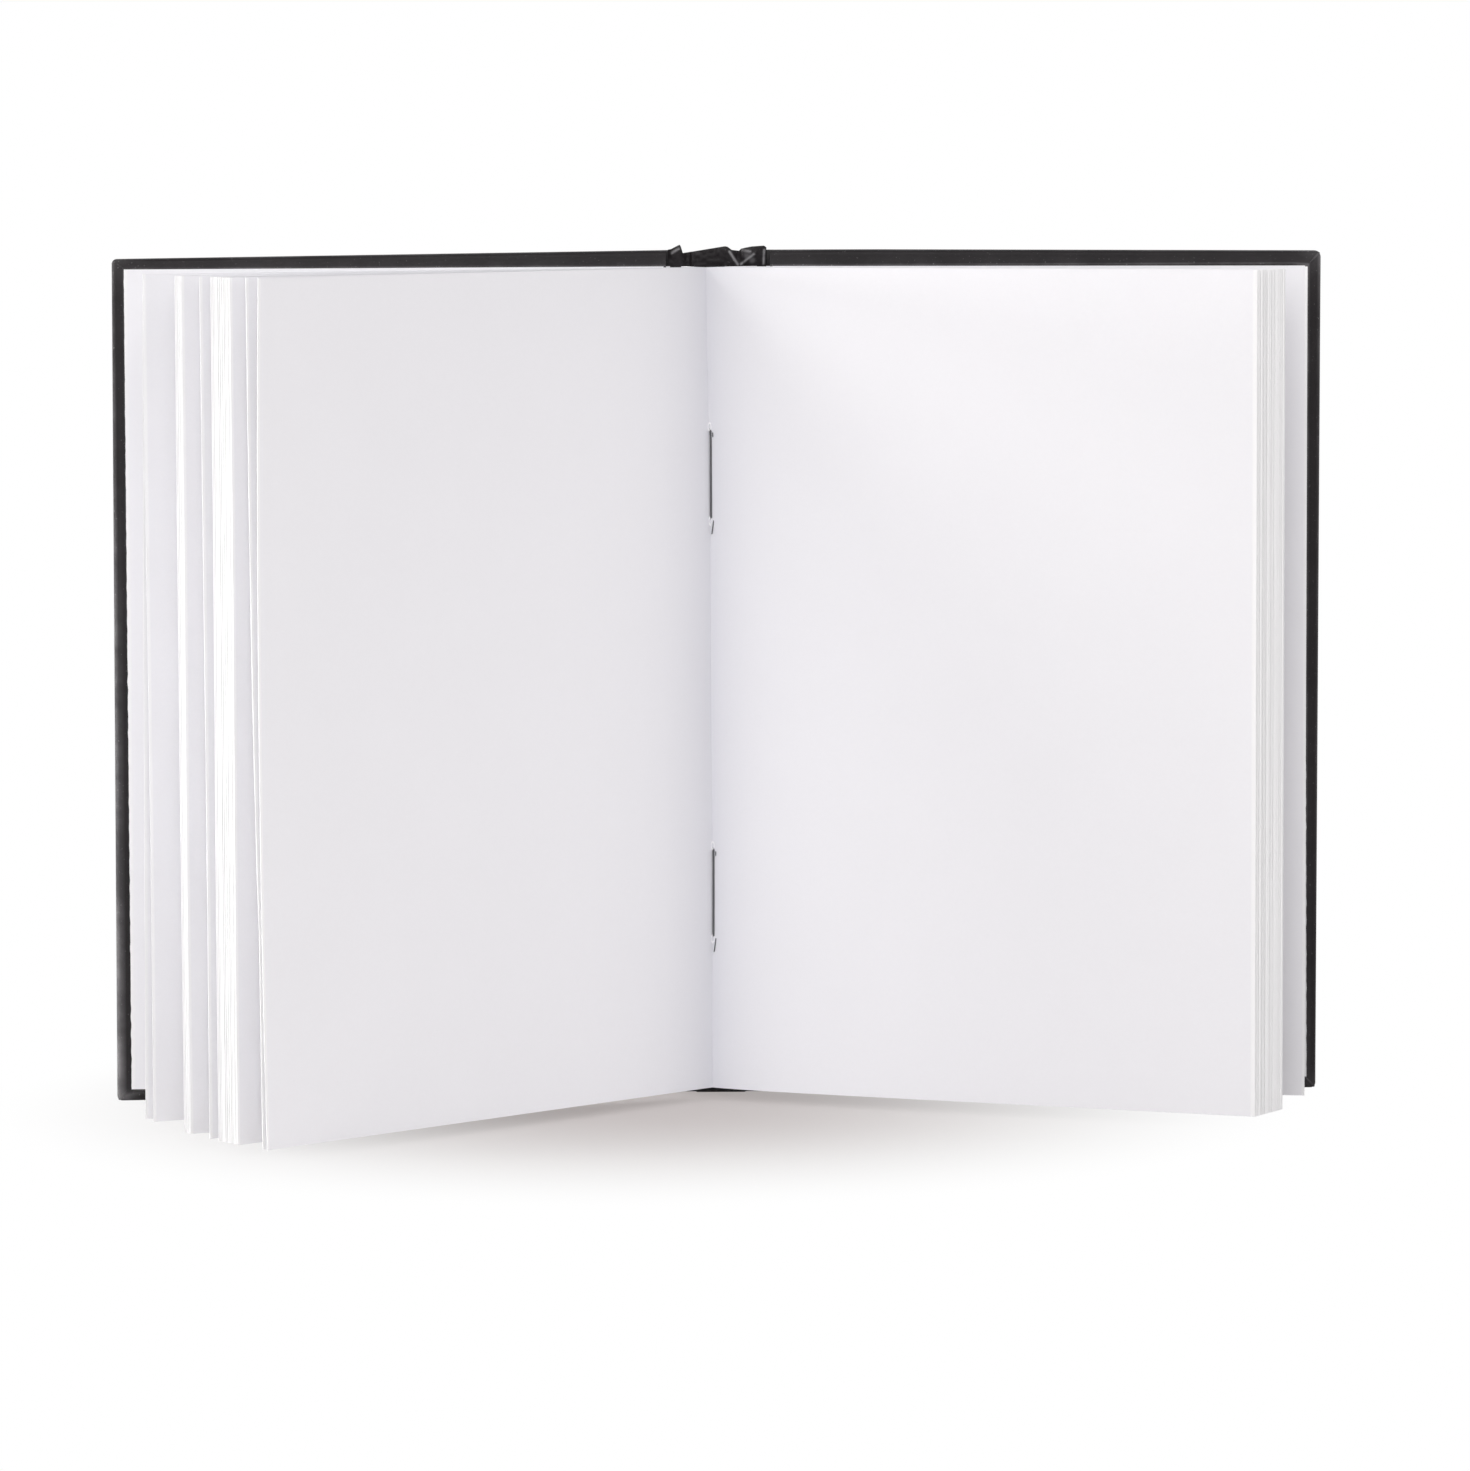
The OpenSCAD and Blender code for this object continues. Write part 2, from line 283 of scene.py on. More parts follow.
def recalculate_normals(obj):
    make_active(obj)
    bpy.ops.object.mode_set(mode="EDIT")
    bpy.ops.mesh.select_all(action="SELECT")
    bpy.ops.mesh.remove_doubles(threshold=0.001 * MM)
    bpy.ops.mesh.normals_make_consistent(inside=False)
    bpy.ops.object.mode_set(mode="OBJECT")


def join(parts, name):
    """Joins the parts into the first of them."""
    deselect_all()
    for part in parts:
        part.select_set(True)
    bpy.context.view_layer.objects.active = parts[0]
    bpy.ops.object.join()
    parts[0].name = name
    parts[0].data.name = name
    return parts[0]


def place_in_mesh(obj):
    make_active(obj)
    bpy.ops.object.transform_apply(location=True, rotation=True, scale=True)


def flat_sheet(name, columns, rows):
    """A flat square grid, one metre wide, that a sheet is shaped from."""
    deselect_all()
    bpy.ops.mesh.primitive_grid_add(x_subdivisions=columns, y_subdivisions=rows, size=1)
    sheet = bpy.context.object
    sheet.name = name
    return sheet


def copy_sheet(sheet, name):
    twin = sheet.copy()
    twin.data = sheet.data.copy()
    twin.name = name
    bpy.context.collection.objects.link(twin)
    return twin


def shape_sheet(sheet, place):
    """Moves each point of a flat sheet to place(share along, share up)."""
    thin = settings().sketchbook_leaves.fold_thinness
    group = sheet.vertex_groups.new(name="thickness")
    layer = sheet.data.attributes.new("along", "FLOAT", "POINT")
    for vertex, entry in zip(sheet.data.vertices, layer.data):
        along = vertex.co.x + 0.5
        entry.value = along
        group.add([vertex.index], thin + (1 - thin) * along, "REPLACE")
        vertex.co = place(along, vertex.co.y + 0.5)


def thicken_leaves(sheets):
    """Gives thin sheets their thickness, which is less at the folds than at the edges."""
    modify(
        sheets, "SOLIDIFY", thickness=settings().sketchbook_leaves.leaf_edge, offset=0,
        vertex_group="thickness",
    )


def skin(name, rings):
    """A closed skin over rings that have equal numbers of points."""
    mesh = bpy.data.meshes.new(name)
    shell = bmesh.new()
    loops = [[shell.verts.new(point) for point in ring] for ring in rings]
    count = len(rings[0])
    for lower, upper in zip(loops, loops[1:]):
        for i in range(count):
            j = (i + 1) % count
            shell.faces.new((lower[i], lower[j], upper[j], upper[i]))
    shell.faces.new(list(reversed(loops[0])))
    shell.faces.new(loops[-1])
    shell.to_mesh(mesh)
    shell.free()
    obj = bpy.data.objects.new(name, mesh)
    bpy.context.collection.objects.link(obj)
    return obj


def interpolate(pairs, t, smooth=True):
    """Value at t of the smooth or straight stretches through pairs of place and value."""
    if t <= pairs[0][0]:
        return pairs[0][1]
    for (t0, v0), (t1, v1) in zip(pairs, pairs[1:]):
        if t <= t1:
            share = (t - t0) / (t1 - t0)
            return v0 + (v1 - v0) * (share * share * (3 - 2 * share) if smooth else share)
    return pairs[-1][1]


def rounded_path(points, rounds=3):
    """The same path with its inner corners cut again and again until they are round."""
    path = [Vector(point) for point in points]
    for _ in range(rounds):
        cut = [path[0]]
        for a, b in zip(path, path[1:]):
            cut += [a.lerp(b, 0.25), a.lerp(b, 0.75)]
        path = cut + [path[-1]]
    return path


def along_path(path, share):
    """Point at a share of a path's length."""
    lengths = [(b - a).length for a, b in zip(path, path[1:])]
    rest = share * sum(lengths)
    for (a, b), length in zip(zip(path, path[1:]), lengths):
        if rest <= length:
            return a.lerp(b, rest / length)
        rest -= length
    return path[-1].copy()


def heading(turn, side):
    return Vector((side * math.cos(turn), -math.sin(turn), 0))


def towards_reader(turn, side):
    return Vector((-side * math.sin(turn), -math.cos(turn), 0))


def gutter_point():
    leaves = settings().sketchbook_leaves
    return Vector((leaves.gutter_x, leaves.gutter_y, 0))


def folds(side):
    """Direction in which the folds of one side follow one another, from the gutter back."""
    leaves = settings().sketchbook_leaves
    turn = leaves.left_folds_turn if side == LEFT else leaves.right_folds_turn
    return Vector((side * math.sin(turn), math.cos(turn), 0))


def left_leaf_count():
    return sum(group[0] for group in LEAF_GROUPS)


def drift(height):
    """Sideways drift of the gutter at a share of the page's height."""
    return interpolate(GUTTER_DRIFT, height) * MM


def gain(pair, height):
    """Width gained at a share of the height, from the gains at the head and at the tail."""
    return (pair[1] + (pair[0] - pair[1]) * height) * MM


def raise_head(obj):
    """Lets the head edge of a cloth rise towards the spine."""
    reach = 2.6 * MM
    for vertex in obj.data.vertices:
        share = max(0, min(1, (vertex.co.z - COVER_HEIGHT + reach) / (reach - 0.6 * MM)))
        vertex.co.z += interpolate(HEAD_RISE, vertex.co.x / MM, smooth=False) * MM * share


def lift(point, height):
    """Puts a plan point at a share of the page's height."""
    return Vector((point.x, point.y, SQUARE + PAGE_HEIGHT * height))


# Materials


def new_group(name, inputs, outputs):
    group = bpy.data.node_groups.new(name, "ShaderNodeTree")
    for socket_name, kind, default in inputs:
        socket = group.interface.new_socket(socket_name, in_out="INPUT", socket_type=kind)
        socket.default_value = default
    for socket_name, kind in outputs:
        group.interface.new_socket(socket_name, in_out="OUTPUT", socket_type=kind)
    return group, group.nodes.new("NodeGroupInput"), group.nodes.new("NodeGroupOutput")


def feed(tree, socket, value):
    """Links an input to another node's output, or sets it to a plain value."""
    if isinstance(value, bpy.types.NodeSocket):
        tree.links.new(value, socket)
    else:
        socket.default_value = value


def add_node(tree, kind, links=None, **values):
    """Adds a node, sets its values and links its inputs, both by name."""
    node = tree.nodes.new(kind)
    for name, value in values.items():
        if hasattr(node, name):
            setattr(node, name, value)
        else:
            node.inputs[name].default_value = value
    for name, value in (links or {}).items():
        feed(tree, node.inputs[name], value)
    return node


def ramp(tree, source, low, high):
    """Maps a value from low..high to 0..1."""
    inputs = {"Value": source, "From Min": low, "From Max": high}
    return add_node(tree, "ShaderNodeMapRange", inputs, clamp=True).outputs["Result"]


def maths(tree, operation, a, b):
    node = tree.nodes.new("ShaderNodeMath")
    node.operation = operation
    for socket, value in zip(node.inputs, (a, b)):
        feed(tree, socket, value)
    return node.outputs[0]


# Places of the factor, the two colours and the result among a Mix node's sockets
COLOUR_MIX_INPUTS = (0, 6, 7)
COLOUR_MIX_RESULT = 2


def mix_colours(tree, factor, a, b):
    node = tree.nodes.new("ShaderNodeMix")
    node.data_type = "RGBA"
    for index, value in zip(COLOUR_MIX_INPUTS, (factor, a, b)):
        feed(tree, node.inputs[index], value)
    return node.outputs[COLOUR_MIX_RESULT]


def noise_texture(tree, vector, scale, detail, roughness=0.5, distortion=0.0):
    """Tone of a noise over the surface, round a half."""
    node = add_node(
        tree, "ShaderNodeTexNoise", {"Vector": vector},
        Scale=scale, Detail=detail, Roughness=roughness, Distortion=distortion,
    )
    return node.outputs["Fac"]


def swing(tree, value, amount):
    """A value that swings round a half, brought to swing round nothing by an amount."""
    return maths(tree, "MULTIPLY", maths(tree, "SUBTRACT", value, 0.5), amount)


def fibre_group():
    """Mottle and fibres of paper and board: a tone that varies round 1 and a height."""
    found = bpy.data.node_groups.get("paper fibre")
    if found:
        return found
    group, source, target = new_group(
        "paper fibre",
        [
            ("Vector", "NodeSocketVector", (0, 0, 0)),
            ("Mottle", "NodeSocketFloat", 0.02),
            ("Fibre", "NodeSocketFloat", 0.03),
        ],
        [("Tone", "NodeSocketFloat"), ("Height", "NodeSocketFloat")],
    )
    vector = source.outputs["Vector"]
    clouds = noise_texture(group, vector, 38.0, 3.0, 0.55)
    fibres = noise_texture(group, vector, 1500.0, 2.0, 0.7, 0.8)
    tooth = noise_texture(group, vector, 2600.0, 1.0)
    cloud_tone = swing(group, clouds, source.outputs["Mottle"])
    fibre_tone = swing(group, fibres, source.outputs["Fibre"])
    tone = maths(group, "ADD", maths(group, "ADD", cloud_tone, fibre_tone), 1.0)
    height = maths(group, "ADD", fibres, maths(group, "MULTIPLY", tooth, 0.6))
    group.links.new(tone, target.inputs["Tone"])
    group.links.new(height, target.inputs["Height"])
    return group


def grain_group():
    """Grain of leather-cloth: pebbles, fine creases, rubbed spots and pale specks."""
    found = bpy.data.node_groups.get("leather grain")
    if found:
        return found
    group, source, target = new_group(
        "leather grain",
        [
            ("Vector", "NodeSocketVector", (0, 0, 0)),
            ("Pebble Scale", "NodeSocketFloat", 1100.0),
            ("Speck Amount", "NodeSocketFloat", 0.5),
        ],
        [(name, "NodeSocketFloat") for name in ("Height", "Rubbed", "Specks")],
    )
    vector = source.outputs["Vector"]
    warp = add_node(group, "ShaderNodeTexNoise", {"Vector": vector}, Scale=420.0, Detail=2.0)
    warped = group.nodes.new("ShaderNodeVectorMath")
    warped.operation = "MULTIPLY_ADD"
    group.links.new(warp.outputs["Color"], warped.inputs[0])
    warped.inputs[1].default_value = (0.9 * MM,) * 3
    group.links.new(vector, warped.inputs[2])
    pebbles = add_node(
        group, "ShaderNodeTexVoronoi",
        {"Vector": warped.outputs[0], "Scale": source.outputs["Pebble Scale"]},
        feature="DISTANCE_TO_EDGE",
    )
    creases = noise_texture(group, vector, 3200.0, 3.0, 0.65)
    height = maths(
        group, "ADD", ramp(group, pebbles.outputs["Distance"], 0.0, 0.16),
        maths(group, "MULTIPLY", creases, 0.45),
    )
    patches = noise_texture(group, vector, 75.0, 5.0, 0.6)
    specks = noise_texture(group, vector, 1900.0, 1.0)
    speck_field = maths(
        group, "MULTIPLY", ramp(group, specks, 0.71, 0.76), source.outputs["Speck Amount"]
    )
    group.links.new(height, target.inputs["Height"])
    group.links.new(ramp(group, patches, 0.4, 0.75), target.inputs["Rubbed"])
    group.links.new(speck_field, target.inputs["Specks"])
    return group


def weave_group():
    """Crossed threads of a plain weave, as a height and a mask of the holes."""
    found = bpy.data.node_groups.get("plain weave")
    if found:
        return found
    group, source, target = new_group(
        "plain weave",
        [("Vector", "NodeSocketVector", (0, 0, 0)), ("Thread Scale", "NodeSocketFloat", 230.0)],
        [("Height", "NodeSocketFloat"), ("Holes", "NodeSocketFloat")],
    )
    heights = []
    for direction in ("X", "Z"):
        wave = add_node(
            group, "ShaderNodeTexWave",
            {"Vector": source.outputs["Vector"], "Scale": source.outputs["Thread Scale"]},
            bands_direction=direction, Distortion=0.6, Detail=1.0,
        )
        heights.append(wave.outputs["Fac"])
    height = maths(group, "MAXIMUM", heights[0], heights[1])
    group.links.new(height, target.inputs["Height"])
    group.links.new(ramp(group, height, 0.35, 0.15), target.inputs["Holes"])
    return group


def attribute(tree, name):
    return add_node(tree, "ShaderNodeAttribute", attribute_name=name).outputs["Fac"]


def start_material(name):
    """A new material with its shader and its object coordinates."""
    material = bpy.data.materials.new(name)
    material.use_nodes = True
    tree = material.node_tree
    shader = tree.nodes["Principled BSDF"]
    coordinates = tree.nodes.new("ShaderNodeTexCoord").outputs["Object"]
    return material, tree, shader, coordinates


def add_bump(tree, shader, height, strength, distance):
    bump = add_node(
        tree, "ShaderNodeBump", {"Height": height}, Strength=strength, Distance=distance
    )
    tree.links.new(bump.outputs["Normal"], shader.inputs["Normal"])


def place_group(tree, group, **values):
    node = tree.nodes.new("ShaderNodeGroup")
    node.node_tree = group
    for name, value in values.items():
        feed(tree, node.inputs[name.replace("_", " ")], value)
    return node


def tint(tree, colour, tone):
    """A colour times a tone that varies over the surface."""
    node = tree.nodes.new("ShaderNodeVectorMath")
    node.operation = "SCALE"
    node.inputs[0].default_value = colour
    tree.links.new(tone, node.inputs["Scale"])
    return node.outputs[0]


# Tint of the painted shade on the paper close to the open fold, and colour of the painted highlight
# along its cut edges, which begins and is whole at these shares of a leaf's width
FOLD_SHADE_TINT = (0.77, 0.775, 0.80)
EDGE_HIGHLIGHT_COLOUR = (0.98, 0.98, 0.985, 1)
EDGE_HIGHLIGHT_SHARES = (0.994, 0.9965)
# The endpapers are painted lighter than the drawing paper, painted light against the shade of the
# gaps they stand in
ENDPAPER_GAIN = 1.035


def paper_material(name, colour, mottle=0.02, fibre=0.03, roughness=0.85):
    """Paper with mottle, fibres and a fine tooth, with painted shade at the fold and a painted
    highlight at its cut edges.
    """
    found = bpy.data.materials.get(name)
    if found:
        return found
    material, tree, shader, coordinates = start_material(name)
    fibre_node = place_group(tree, fibre_group(), Vector=coordinates, Mottle=mottle, Fibre=fibre)
    tone = fibre_node.outputs["Tone"]
    # Paper darkened by painted shade, used close to the open fold
    fold_shaded_paper = [channel * share for channel, share in zip(colour, FOLD_SHADE_TINT)]
    fold = attribute(tree, "fold")
    body = mix_colours(tree, fold, tint(tree, colour, tone), tint(tree, fold_shaded_paper, tone))
    # A painted highlight whitens each leaf along its cut edge
    edge = ramp(tree, attribute(tree, "along"), *EDGE_HIGHLIGHT_SHARES)
    tree.links.new(mix_colours(tree, edge, body, EDGE_HIGHLIGHT_COLOUR), shader.inputs["Base Color"])
    shade = ramp(tree, fibre_node.outputs["Height"], -0.5, 2.0)
    tree.links.new(maths(tree, "ADD", maths(tree, "MULTIPLY", shade, 0.12), roughness - 0.06),
                   shader.inputs["Roughness"])
    shader.inputs["Specular IOR Level"].default_value = 0.25
    add_bump(tree, shader, fibre_node.outputs["Height"], 0.25, 0.03 * MM)
    return material


def drawing_paper():
    return paper_material("drawing paper", settings().sketchbook_finish.paper)


def endpaper():
    paper = settings().sketchbook_finish.paper
    # Lighter than the drawing paper by painted light
    return paper_material("endpaper", [channel * ENDPAPER_GAIN for channel in paper], mottle=0.03)


def cover_cloth():
    """Black leather-cloth with a soft sheen, paler where it is rubbed or worn and where a painted
    highlight lies on the rumpled head.
    """
    found = bpy.data.materials.get("cover cloth")
    if found:
        return found
    finish = settings().sketchbook_finish
    material, tree, shader, coordinates = start_material("cover cloth")
    grain = place_group(
        tree, grain_group(), Vector=coordinates, Pebble_Scale=1100.0, Speck_Amount=0.6
    )
    wear_and_sheen = attribute(tree, "wear_and_sheen")
    black = (*finish.cloth, 1)
    worn_and_sheen = (*finish.worn_and_sheen_cloth, 1)
    rubbed_black = tuple(min(1, channel * 1.3) for channel in finish.cloth) + (1,)
    base = mix_colours(tree, grain.outputs["Rubbed"], black, rubbed_black)
    # Paler where the cloth is worn, and where a painted highlight lies on the rumpled head's facets
    wear_and_sheen_share = maths(tree, "MULTIPLY", wear_and_sheen, maths(tree, "ADD", grain.outputs["Rubbed"], 0.55))
    worn_and_sheen_base = mix_colours(tree, ramp(tree, wear_and_sheen_share, 0.0, 1.0), base, worn_and_sheen)
    flecks = maths(tree, "MULTIPLY", grain.outputs["Specks"],
                   ramp(tree, maths(tree, "ADD", wear_and_sheen, 0.08), 0.0, 0.4))
    tree.links.new(mix_colours(tree, flecks, worn_and_sheen_base, worn_and_sheen), shader.inputs["Base Color"])
    roughness = maths(tree, "ADD", maths(tree, "MULTIPLY", grain.outputs["Rubbed"], -0.05), 0.42)
    tree.links.new(roughness, shader.inputs["Roughness"])
    shader.inputs["Specular IOR Level"].default_value = 0.19
    add_bump(tree, shader, grain.outputs["Height"], 0.35, 0.05 * MM)
    return material


def grey_board():
    found = bpy.data.materials.get("grey board")
    if found:
        return found
    material, tree, shader, coordinates = start_material("grey board")
    fibre_node = place_group(tree, fibre_group(), Vector=coordinates, Mottle=0.25, Fibre=0.5)
    colour = settings().sketchbook_finish.board
    tree.links.new(tint(tree, colour, fibre_node.outputs["Tone"]), shader.inputs["Base Color"])
    shader.inputs["Roughness"].default_value = 0.9
    add_bump(tree, shader, fibre_node.outputs["Height"], 0.5, 0.08 * MM)
    return material


def lining_cloth():
    found = bpy.data.materials.get("lining cloth")
    if found:
        return found
    material, tree, shader, coordinates = start_material("lining cloth")
    weave = place_group(tree, weave_group(), Vector=coordinates, Thread_Scale=230.0)
    fibre_node = place_group(tree, fibre_group(), Vector=coordinates, Mottle=0.15, Fibre=0.3)
    lining = settings().sketchbook_finish.lining
    threads = tint(tree, lining, fibre_node.outputs["Tone"])
    glue = tuple(channel * 0.55 for channel in lining) + (1,)
    tree.links.new(mix_colours(tree, weave.outputs["Holes"], threads, glue),
                   shader.inputs["Base Color"])
    shader.inputs["Roughness"].default_value = 0.85
    add_bump(tree, shader, weave.outputs["Height"], 0.6, 0.1 * MM)
    return material


def twisted_thread():
    found = bpy.data.materials.get("twisted thread")
    if found:
        return found
    material, tree, shader, coordinates = start_material("twisted thread")
    turned = tree.nodes.new("ShaderNodeMapping")
    turned.inputs["Rotation"].default_value = (0, math.radians(35), 0)
    tree.links.new(coordinates, turned.inputs["Vector"])
    strands = add_node(tree, "ShaderNodeTexWave", {"Vector": turned.outputs[0]},
                       bands_direction="Z", Scale=900.0, Distortion=0.8)
    fibre_node = place_group(tree, fibre_group(), Vector=coordinates, Mottle=0.1, Fibre=0.35)
    # The thread's dark grey is painted shade of the gutter it lies in
    colour = settings().sketchbook_finish.thread
    light = tint(tree, colour, fibre_node.outputs["Tone"])
    dark = tuple(channel * 0.5 for channel in colour) + (1,)
    tree.links.new(mix_colours(tree, ramp(tree, strands.outputs["Fac"], 0.35, 0.0), light, dark),
                   shader.inputs["Base Color"])
    shader.inputs["Roughness"].default_value = 0.75
    add_bump(tree, shader, strands.outputs["Fac"], 0.7, 0.06 * MM)
    return material


def dress(obj, material):
    obj.data.materials.clear()
    obj.data.materials.append(material)


def finish_piece(obj, slot, material, *replaced, body="text_block", joint=None, crease=35):
    """Smooths a piece below the crease angle and gives it its material and body. The slot is not
    used.

    A piece at a joint, LEFT or RIGHT, keeps its place in the world and is given no body. The
    replaced solids hide.
    """
    recalculate_normals(obj)
    make_active(obj)
    bpy.ops.object.shade_smooth_by_angle(angle=math.radians(crease))
    dress(obj, material)
    if joint:
        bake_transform(obj)
    else:
        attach(obj, body)
    if replaced:
        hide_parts(*replaced)


def mark(obj, name, amount):
    """Writes an attribute of each point, from amount(place)."""
    layer = obj.data.attributes.new(name, "FLOAT", "POINT")
    layer.data.foreach_set("value", [amount(vertex.co) for vertex in obj.data.vertices])


# Leaves


def painted_fold_shade(point):
    """How much painted shade darkens the paper close to the open fold."""
    reach = settings().sketchbook_leaves.shade_reach
    return math.exp(-(Vector((point.x, point.y, 0)) - gutter_point()).length / reach)


def left_leaf_place(index, turn, bow, trim, curl):
    """Place on a fanned leaf, whose angle may change with its height by curl(height)."""
    leaves = settings().sketchbook_leaves
    share = (index + 0.5) / left_leaf_count()
    root = gutter_point() + folds(LEFT) * share * leaves.left_thickness
    width = leaves.page_width - trim

    def place(along, height):
        angle = turn + curl(height)
        point = root + heading(angle, LEFT) * width * along
        point += towards_reader(angle, LEFT) * 4 * bow * along * (1 - along)
        point.x += drift(height) * (1 - along) ** 2
        return lift(point, height)

    return place


# Curl of the open page at half its height, and of the leaf behind it at its head
OPEN_PAGE_CURL = math.radians(-0.55)
SECOND_PAGE_CURL = math.radians(-1.15)
SECOND_CURL_START = 0.25


def open_page_curl(height):
    return OPEN_PAGE_CURL * 4 * height * (1 - height)


def second_page_curl(height):
    rise = max(0, (height - SECOND_CURL_START) / (1 - SECOND_CURL_START))
    return SECOND_PAGE_CURL * rise ** 0.7 + open_page_curl(height) * 0.4


def group_curl(group, share):
    """Small change of a group's angle with height, different for each leaf of the group."""
    if group == 0:
        return open_page_curl if share == 0 else second_page_curl
    sway = math.radians(0.25 + 0.1 * group)

    def curl(height):
        wave = noise.noise(Vector((height * 1.3, group * 3.7 + share * 0.4, 0.5)))
        return sway * wave

    return curl


class SKETCHBOOK_OT_fanned_leaves(Operator):
    """Fan the left-hand leaves out in their groups"""

    bl_idname = "sketchbook.fanned_leaves"
    bl_label = "Fanned Leaves"

    def execute(self, context):
        leaves = context.scene.sketchbook_leaves
        dice = random.Random(SEED)
        unevenness = 0.42
        deepest_trim = 0.3
        blank = flat_sheet("leaf", 18, 16)
        sheets = []
        index = 0
        for group, (count, front, back) in enumerate(LEAF_GROUPS):
            for i in range(count):
                share = i / max(1, count - 1)
                inner = 0 < i < count - 1
                uneven = dice.uniform(-unevenness, unevenness) / count if inner else 0
                turn = math.radians(front + (back - front) * (share + uneven))
                bow = 0 if group == 0 else leaves.leaf_bow
                sheet = copy_sheet(blank, f"leaf_{index}")
                trim = dice.uniform(0, deepest_trim) * MM if inner else 0
                curl = group_curl(group, share)
                shape_sheet(sheet, left_leaf_place(index, turn, bow, trim, curl))
                sheets.append(sheet)
                index += 1
        bpy.data.objects.remove(blank)
        fan = join(sheets, "fanned_leaves")
        thicken_leaves(fan)
        # Painted shade on the paper close to the open fold
        mark(fan, "fold", painted_fold_shade)
        finish_piece(fan, "paper", drawing_paper(), "page_block")
        return {"FINISHED"}


def swell(distance):
    """Swell of the right-hand page at a distance from the gutter, back to none at its edge."""
    leaves = settings().sketchbook_leaves
    reach = leaves.swell_reach
    width = leaves.page_width
    fall = distance / width * (1 - math.exp(-width / reach))
    return leaves.page_swell * (1 - math.exp(-distance / reach) - fall)


def clumped(index, count):
    """Share of the way through the right-hand stack at which a leaf stands at the fore-edge."""
    starts = [round(start * count) for start in STACK_CLUMPS]
    clump = max(start for start in starts if start <= index)
    end = min([start for start in starts if start > index], default=count)
    return ((1 - CLUMPING) * index + CLUMPING * (clump + end - 1) / 2) / (count - 1)


def stack_leaf_place(share, turn, width, trim):
    """Place on a leaf that lies a share of the way through the right-hand stack."""
    leaves = settings().sketchbook_leaves
    root = gutter_point() + folds(RIGHT) * leaves.stack_thickness * share
    front = leaves.stack_front_turn

    def place(along, height):
        distance = width * along ** 1.6
        point = root + heading(turn, RIGHT) * distance
        point += towards_reader(front, RIGHT) * swell(distance) * (1 - share)
        point.x += drift(height) * math.exp(-distance / leaves.swell_reach)
        return lift(point, trim + (1 - 2 * trim) * height)

    return place


class SKETCHBOOK_OT_leaf_stack(Operator):
    """Lay the right-hand leaves on one another"""

    bl_idname = "sketchbook.leaf_stack"
    bl_label = "Leaf Stack"

    def execute(self, context):
        leaves = context.scene.sketchbook_leaves
        dice = random.Random(SEED)
        front_loss = 1.25 * MM
        back_loss = 0.9 * MM
        gaps = (0.22, 0.86)
        gap_turn = math.radians(0.6)
        loose_turn = 0.012
        loose_widths = (-0.09, 0.05)
        highest_trim = 0.08
        blank = flat_sheet("leaf", 20, 10)
        sheets = []
        count = leaves.stack_leaves
        for i in range(count):
            share = i / (count - 1)
            spread = leaves.stack_back_turn - leaves.stack_front_turn
            fanned = clumped(i, count)
            turn = leaves.stack_front_turn + spread * fanned
            turn -= 4 * leaves.fore_edge_bow * fanned * (1 - fanned)
            gap_side = sum(0.5 if share < gap else -0.5 for gap in gaps)
            turn += gap_turn * gap_side * share * (1 - share)
            if 0 < i < count - 1:
                turn += math.radians(dice.uniform(-loose_turn, loose_turn))
            loss = front_loss * (1 - share) ** 2 + back_loss * share
            width = leaves.page_width - loss + dice.uniform(*loose_widths) * MM
            sheet = copy_sheet(blank, f"leaf_{i}")
            trim = dice.uniform(0, highest_trim) * MM / PAGE_HEIGHT if i else 0
            shape_sheet(sheet, stack_leaf_place(share, turn, width, trim))
            sheets.append(sheet)
        bpy.data.objects.remove(blank)
        stack = join(sheets, "leaf_stack")
        thicken_leaves(stack)
        # Painted shade on the paper close to the open fold
        mark(stack, "fold", painted_fold_shade)
        finish_piece(stack, "paper", drawing_paper(), "page_block")
        return {"FINISHED"}


class SKETCHBOOK_OT_section_folds(Operator):
    """Round the backs of the sewn sections"""

    bl_idname = "sketchbook.section_folds"
    bl_label = "Section Folds"

    def execute(self, context):
        leaves = context.scene.sketchbook_leaves
        pitch = leaves.leaf_thickness * leaves.section_leaves
        depth = 1.1 * MM
        backs = []
        for direction, length in (
            (folds(LEFT), leaves.left_thickness),
            (folds(RIGHT), leaves.stack_thickness),
        ):
            count = max(1, round(length / pitch))
            for i in range(count):
                middle = gutter_point() + direction * (i + 0.5) * length / count
                middle.x += drift(0.5) * 0.6
                deselect_all()
                bpy.ops.mesh.primitive_cylinder_add(
                    vertices=20, radius=0.5, depth=PAGE_HEIGHT - 0.1 * MM,
                    location=(middle.x, middle.y, SQUARE + PAGE_HEIGHT / 2),
                    rotation=(0, 0, math.atan2(direction.y, direction.x)),
                    scale=(length / count, depth, 1),
                )
                backs.append(bpy.context.object)
        block = join(backs, "section_folds")
        place_in_mesh(block)
        finish_piece(block, "paper", drawing_paper(), "page_block", crease=40)
        return {"FINISHED"}


# Endpapers


def fold_root(side):
    """Plan point at which a flyleaf leaves the backs of the sections."""
    leaves = settings().sketchbook_leaves
    depth = leaves.left_thickness if side == LEFT else leaves.stack_thickness
    return gutter_point() + folds(side) * (depth + leaves.leaf_thickness / 2)


def flyleaf_place(side, turn):
    leaves = settings().sketchbook_leaves
    root = fold_root(side)
    loss = (1.4 if side == LEFT else 0.1) * MM

    def place(along, height):
        ruffle = noise.noise(Vector((height * 1.1 + side, along * 0.8, 4.2))) * 0.5 * MM
        width = leaves.page_width - loss + gain(FLYLEAF_GAIN[side], height)
        point = root + heading(turn, side) * width * along
        bulge = 4 * leaves.leaf_bow * along * (1 - along) + ruffle * along
        point += towards_reader(turn, side) * bulge
        return lift(point, height)

    return place


